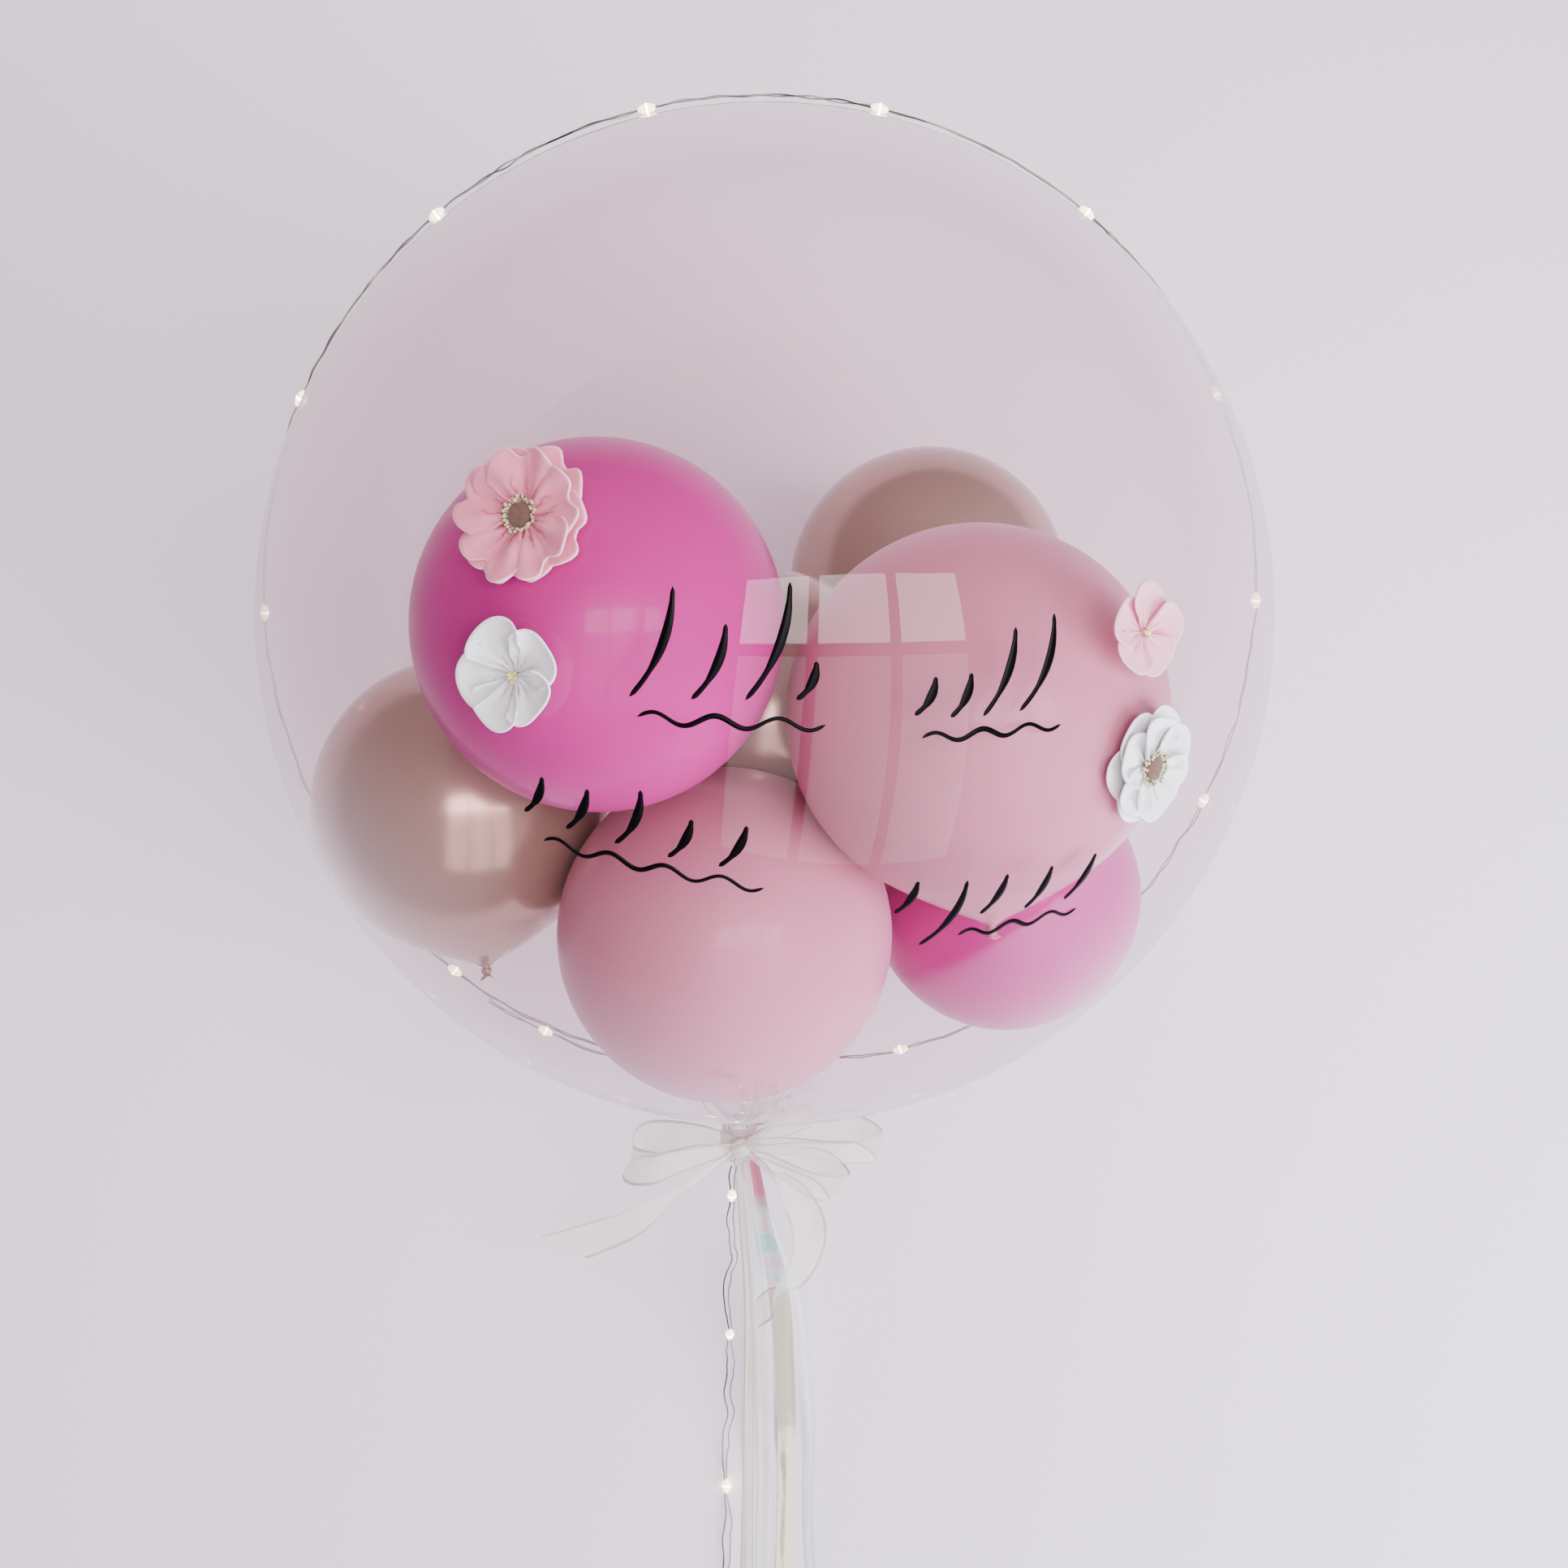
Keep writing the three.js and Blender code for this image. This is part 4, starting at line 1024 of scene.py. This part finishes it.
bow_strips = [
    ("left_loop",
     [(-3, -264, 15), (-20, -265, 21), (-42, -270, 25), (-56, -273, 15), (-50, -268, 4), (-24, -262, 6),
      (-3, -262, 12)],
     [(0, 1, 0.1), (0.1, 1, 0.3), (0.2, 1, 0.2), (0.3, 1, 0), (0.2, 1, -0.2), (0, 1, 0), (0, 1, 0)],
     [7, 13, 19, 21, 19, 12, 7]),
    ("right_upper_loop",
     [(3, -262, 15), (24, -258, 22), (52, -259, 25), (69, -260, 16), (60, -257, 6), (28, -258, 8),
      (3, -262, 12)],
     [(0, 1, 0.1), (0, 1, 0.4), (0, 1, 0.5), (0.1, 1, 0.2), (0, 1, -0.1), (0, 1, 0), (0, 1, 0)],
     [7, 12, 18, 21, 18, 12, 7]),
    ("right_lower_loop",
     [(4, -266, 15), (18, -272, 18), (38, -282, 19), (51, -287, 11), (44, -281, 3), (22, -272, 7),
      (4, -266, 12)],
     [(0.3, 1, 0.1), (0.4, 1, 0.3), (0.5, 1, 0.3), (0.6, 1, 0.1), (0.5, 1, -0.1), (0.4, 1, 0), (0.3, 1, 0)],
     [7, 12, 18, 20, 18, 12, 7]),
    ("back_loop",
     [(4, -261, 12), (14, -256, 12), (28, -252, 10), (35, -251, 4), (28, -252, -1), (16, -255, 3),
      (9, -260, 8), (4, -262, 12)],
     [(0, 1, 0), (0, 1, 0.3), (0, 1, 0.3), (0, 1, 0.1), (0, 1, 0), (0, 1, 0), (0, 1, 0), (0, 1, 0)],
     [6, 8, 10, 11, 10, 8, 7, 6]),
    ("left_tail",
     [(-3, -266, 14), (-18, -277, 18), (-36, -292, 17), (-58, -311, 14), (-88, -325, 12)],
     [(0.6, 1, 0), (0.7, 1, 0.2), (0.7, 0.8, 0.3), (0.5, 0.9, 0.2), (0.2, 1, 0)],
     [7, 13, 17, 20, 20]),
    ("right_tail",
     [(4, -267, 14), (20, -278, 20), (33, -296, 21), (37, -320, 17), (29, -344, 13), (13, -363, 11)],
     [(-0.7, 1, 0), (-0.9, 0.8, 0.2), (-1, 0.3, 0.3), (-1, -0.2, 0.3), (-1, -0.7, 0.2), (-0.5, -0.9, 0)],
     [7, 14, 18, 19, 18, 12]),
]


# A sheer plain weave: open between fine crossed threads, close along both corded edges.
sheer_weave, given, result = new_group(
    "sheer_weave",
    dict.fromkeys(("Threads Across", "Threads Along", "Cover", "Edge Cover", "Edge Start"), "Float"),
    dict.fromkeys(("Alpha", "Edge", "Height"), "Float"),
)
_, across, along = sheet_place(sheer_weave)
warp, weft = (
    maths(sheer_weave, "SINE", maths(
        sheer_weave, "MULTIPLY", maths(sheer_weave, "MULTIPLY", place, given.outputs[threads]), 2 * math.pi
    ))
    for place, threads in ((across, "Threads Across"), (along, "Threads Along"))
)
higher = maths(sheer_weave, "MAXIMUM", warp, weft)
thread = maths(sheer_weave, "MULTIPLY", maths(sheer_weave, "ADD", higher, 1), 0.5)
off_middle = maths(sheer_weave, "ABSOLUTE", maths(sheer_weave, "SUBTRACT", across, 0.5))
edge = maths(sheer_weave, "GREATER_THAN", off_middle, given.outputs["Edge Start"])
open_part = maths(sheer_weave, "MULTIPLY", thread, given.outputs["Cover"])
closed_part = maths(sheer_weave, "MULTIPLY", edge, given.outputs["Edge Cover"])
alpha = maths(sheer_weave, "MAXIMUM", open_part, closed_part)
for name, value in (("Alpha", alpha), ("Edge", edge), ("Height", thread)):
    sheer_weave.links.new(value, result.inputs[name])


def organza_finish(name, tint, edge_tint, **weave_values):
    """Sheer ribbon: its weave lets light through, and its corded edges are closer and darker."""
    finish = new_finish(
        name, tint, tuple(0.92 * c for c in tint), 60, 900, Roughness=0.45, Sheen_Weight=0.4
    )
    tree = finish.node_tree
    colour, base = base_colour(finish)
    shader = base.node
    weave = fitted(tree, "Group", sheer_weave, **weave_values)
    bump = fitted(tree, "Bump", Strength=0.3, Distance=0.1 * mm, Height=weave.outputs["Height"])
    tree.links.new(tinted(tree, colour, weave.outputs["Edge"], edge_tint), base)
    tree.links.new(weave.outputs["Alpha"], shader.inputs["Alpha"])
    tree.links.new(bump.outputs["Normal"], shader.inputs["Normal"])
    return finish


bow_organza = organza_finish(
    "sheer_cream_organza", (0.80, 0.69, 0.64), (0.52, 0.39, 0.32), Cover=0.55, Edge_Cover=0.85,
    Edge_Start=0.425, Threads_Across=40, Threads_Along=220,
)


def ribbon(path, across, widths, step, columns, cup, crumple, seed, frame_matrix, slant=0.0):
    """A strip of given widths along a path, cupped and softly crumpled, its width lying along across."""
    line = smooth_line([Vector(point) * mm for point in path], step)
    sides = smooth_line([Vector(side).normalized() for side in across], 1e-2)
    rows = []
    for i, centre in enumerate(line):
        share = i / (len(line) - 1)
        heading = heading_at(line, i)
        wide = sides[round(share * (len(sides) - 1))].copy()
        wide = (wide - heading * wide.dot(heading)).normalized()
        up = heading.cross(wide)
        place = share * (len(widths) - 1)
        low = min(int(place), len(widths) - 2)
        half = 0.5 * mm * (widths[low] + (widths[low + 1] - widths[low]) * (place - low))
        row = []
        for j in range(columns + 1):
            s = -1 + 2 * j / columns
            lift = cup * (1 - s * s) + crumple * noise.noise(Vector((s * 1.2 + seed, share * 5, seed * 1.7)))
            lift += 0.4 * crumple * math.sin(5 * s + 9 * share + seed) * (1 - share)
            point = centre + wide * half * s + up * lift
            if slant and share > 0.8:
                point = point + heading * (slant * s * (share - 0.8) / 0.2)
            row.append(frame_matrix @ point)
        rows.append(row)
    return lattice(rows), sum((b - a).length for a, b in zip(line, line[1:]))


tail_slants = {"left_tail": 9 * mm, "right_tail": 5 * mm}
for seed, (name, path, across, widths) in enumerate(bow_strips):
    slant = tail_slants.get(name, 0)
    shape, length = ribbon(path, across, widths, 2 * mm, 10, 1.2 * mm, 1.4 * mm, 7 + seed, lean, slant)
    strip = show("bow_" + name, shape, bow_organza)


band_start, band_length, band_radius, band_swell = -259, 14, 8.0, 2.1
band_rows, band_sides = 15, 72
lump_middle, lump_half = (0, -264.5, 12.6), (6.2, 5.2, 4.2)
lump_rows, lump_sides = 15, 40


def bow_knot():
    """Two turns of gathered ribbon round the neck, and the lump of the knot in front of it."""
    rows = []
    for i in range(band_rows):
        t = i / (band_rows - 1)
        along = band_start - band_length * t
        row = []
        for turn in turns(band_sides):
            folds = 0.45 * math.sin(9 * t * math.pi + 1.5 * math.sin(turn))
            folds += 0.3 * math.sin(16 * t + 3 * turn)
            radius = band_radius + band_swell * math.sin(math.pi * t) ** 0.5 + folds
            row.append(on_balloon(radius * math.sin(turn) * mm, along * mm, radius * math.cos(turn) * mm))
        rows.append(row)
    band = lattice(rows, round_rows=True)
    rows = []
    for i in range(lump_rows):
        polar = math.pi * (i + 0.5) / lump_rows
        row = []
        for turn in turns(lump_sides):
            folds = 1 + 0.07 * math.sin(7 * turn + 2 * math.sin(2 * polar))
            x = lump_half[0] * math.cos(polar)
            y = lump_middle[1] + lump_half[1] * math.sin(polar) * math.cos(turn) * folds
            z = lump_middle[2] + lump_half[2] * math.sin(polar) * math.sin(turn) * folds
            row.append(on_balloon(x * mm, y * mm, z * mm))
        rows.append(row)
    ends = [
        on_balloon(side * lump_half[0] * mm, lump_middle[1] * mm, lump_middle[2] * mm) for side in (1, -1)
    ]
    return inside_out(joined([band, capped(rows, *ends)]))


knot_organza = organza_finish(
    "gathered_organza", (0.78, 0.67, 0.61), (0.70, 0.60, 0.54), Cover=1.1, Edge_Cover=1.0,
    Edge_Start=2.0, Threads_Across=60, Threads_Along=60,
)
show("bow_knot", bow_knot(), knot_organza, ["organza_bow"])


# ---- Streamers -------------------------------------------------------------------------------------
# Four narrow strips tied in with the bow: folded cream tissue film on the left, a milky one, one of
# iridescent pearl film and a thin one that curls. They sag to the floor and lie along it.

streamer_cuts = [
    ("left", -2.4, [-1, 4, 9, 12, 14, 15.4, 15.8], [4, 4, 5, 6, 8, 8], -424, -585),
    ("centre", 2.6, [2, 9, 16.5, 21, 24, 25.3, 26], [6, 8, 9.4, 9.4, 9.4, 9.4], -430, -600),
    ("pearl", 0, [5, 14, 26, 32, 35.5, 36.8, 37.4], [9, 12, 10.4, 10.4, 11, 11], -427, -572),
    ("curled", -5, [4, 17, 33, 42, 48, 50, 56], [5, 6, 7, 7, 8, 6], -420, -520),
]


def streamer_line(stack, middles, landing, end):
    """Out of the neck along its lean, down to the floor in one sag, and along it."""
    start = on_balloon(middles[0] * mm, -neck_end - 1 * mm, stack * mm)
    heading = Vector((0, -math.cos(math.radians(lean_degrees)), -math.sin(math.radians(lean_degrees))))
    ground = 0.45 * mm
    before_landing, landed = Vector((0, (landing + 60) * mm, ground)), Vector((0, landing * mm, ground))
    pulls = [start, start + heading * 56 * mm, before_landing, landed]
    line = []
    for i in range(12):
        t = i / 11
        shares = ((1 - t) ** 3, 3 * t * (1 - t) ** 2, 3 * t * t * (1 - t), t**3)
        line.append(sum((pull * share for pull, share in zip(pulls, shares)), Vector()))
    for k in range(1, 5):
        line.append(Vector((0, (landing + (end - landing) * k / 4) * mm, ground)))
    aside = smooth_line([Vector((x * mm, i, 0)) for i, x in enumerate(middles)], 0.02)
    for i, point in enumerate(line):
        point.x = aside[round(i / (len(line) - 1) * (len(aside) - 1))].x
    return line


def pearl_finish(name, base, glints, plain, roughness):
    """Iridescent film, crinkled in facets of painted iridescent glints near the knot and plain further down.
    """
    finish = new_finish(
        name, *base, 85, 170, bump=0.5, relief=0.6 * mm, Roughness=roughness, Metallic=0.45, Coat_Weight=0.4
    )
    tree = finish.node_tree
    colour, base_socket = base_colour(finish)
    _, _, along = sheet_place(tree)
    where = tree.nodes.new("ShaderNodeTexCoord")
    # Painted glints: the cyan and rose facets and the deeper rose at the knot stand for the film's iridescent
    # sheen.
    facets = fitted(tree, "TexVoronoi", Vector=where.outputs["Object"], Scale=170)
    chance = fitted(tree, "SeparateXYZ", Vector=facets.outputs["Color"])
    marks = [
        (chance.outputs["X"], 0.5, 0.56, glints[0]), (chance.outputs["Y"], 0.62, 0.68, glints[1]),
        (along, 0.1, 0.06, glints[2]), (along, 0.24, 0.27, plain),
    ]
    for value, low, high, tint in marks:
        colour = tinted(tree, colour, ranged(tree, value, low, high), tint)
    tree.links.new(colour, base_socket)
    return finish


tissue_film = organza_finish(
    "folded_tissue_film", (0.80, 0.70, 0.62), (0.52, 0.40, 0.33), Cover=0.9, Edge_Cover=0.95,
    Edge_Start=0.40, Threads_Across=9, Threads_Along=0,
)
milky_film = organza_finish(
    "milky_film", (0.87, 0.85, 0.83), (0.62, 0.54, 0.49), Cover=0.8, Edge_Cover=0.85,
    Edge_Start=0.455, Threads_Across=6, Threads_Along=0,
)
# Its list of three tints holds the painted glints.
pearl_film = pearl_finish(
    "iridescent_film", [(0.78, 0.84, 0.86), (0.84, 0.82, 0.80)],
    [(0.36, 0.80, 0.78), (0.88, 0.70, 0.76), (0.72, 0.20, 0.33)], (0.74, 0.66, 0.53), 0.22,
)
streamer_finishes = {"left": tissue_film, "centre": milky_film, "pearl": pearl_film, "curled": milky_film}

for seed, (name, stack, middles, widths, landing, end) in enumerate(streamer_cuts):
    path = [point / mm for point in streamer_line(stack, middles, landing, end)]
    shape, length = ribbon(
        path, [(1, 0, 0), (1, 0, 0)], widths, 3 * mm, 8, 0.3 * mm, 0.8 * mm, 20 + seed, Matrix.Identity(4)
    )
    for corner in shape[0]:
        corner.z = max(corner.z, 0.15 * mm + 0.1 * mm * seed)
    strip = show("ribbon_streamer_" + name, shape, streamer_finishes[name], ["streamer_" + name])


# ---- Floor and lights ------------------------------------------------------------------------------
# A pale lilac-white studio floor, a tall soft window of six panes to the front, a wide soft panel on
# the right, a weaker one beyond the crown and an even pale room. Only the panes show in the film.

pale_floor = new_finish(
    "pale_floor", (0.88, 0.775, 0.875), (0.87, 0.76, 0.86), 1.5, 250, bump=0.03, Roughness=0.85
)
floor_reach = 4
floor_corners = [(x * floor_reach, y * floor_reach, 0) for x, y in ((-1, -1), (1, -1), (1, 1), (-1, 1))]
floor_mesh = bpy.data.meshes.new("floor")
floor_mesh.from_pydata(floor_corners, [], [(0, 1, 2, 3)])
floor_mesh.materials.append(pale_floor)
floor = placed("floor", floor_mesh)


def soft_panel(name, place, normal, up, width, height, brightness, colour=(1, 1, 1)):
    """A rectangular area lamp that gives this brightness over its whole face."""
    lamp = bpy.data.lights.new(name, "AREA")
    lamp.shape = "RECTANGLE"
    lamp.size, lamp.size_y = width, height
    lamp.energy = brightness * math.pi * width * height
    lamp.color = colour
    thing = placed(name, lamp)
    away = -normal.normalized()
    upward = (up - away * up.dot(away)).normalized()
    axes = Matrix((upward.cross(away), upward, away)).transposed()
    thing.matrix_world = Matrix.Translation(place) @ axes.to_4x4()
    return thing


window_toward = Vector((0.265, -0.525, 0.809))
window_middle = Vector((0.02, -0.082, 0.436)) + window_toward * 1.3
window_up = Vector((0.033, 0.843, 0.537))
window_aside = window_up.cross(window_toward).normalized()
pane_columns, pane_width = (-0.44, 0, 0.44), 0.38
pane_rows = [(0.62, 0.40, 16.0), (-0.22, 1.14, 3.4)]
for column, aside in enumerate(pane_columns):
    for row, (raised, height, brightness) in enumerate(pane_rows):
        place = window_middle + window_aside * aside + window_up * raised
        name = f"window_pane_{column}_{row}"
        soft_panel(name, place, -window_toward, window_up, pane_width, height, brightness)
right_panel = soft_panel(
    "right_panel", Vector((1.55, -0.95, 0.85)), Vector((-1.2, 0.5, -0.75)), Vector((0, 0, 1)), 1.3, 1.4, 16.5,
    (0.80, 0.90, 1),
)
far_panel = soft_panel(
    "far_panel", Vector((-0.2, 1.35, 1.0)), Vector((0.15, -1.2, -0.85)), Vector((0, 0, 1)), 1.3, 1.0, 4.2,
    (1, 0.90, 0.95),
)
for panel in (right_panel, far_panel):
    panel.visible_glossy = False
    panel.visible_transmission = False

room = bpy.data.worlds.new("room")
room.use_nodes = True
backdrop = room.node_tree.nodes["Background"]
backdrop.inputs["Color"].default_value = (0.96, 0.86, 0.90, 1)
backdrop.inputs["Strength"].default_value = 0.47
bpy.context.scene.world = room
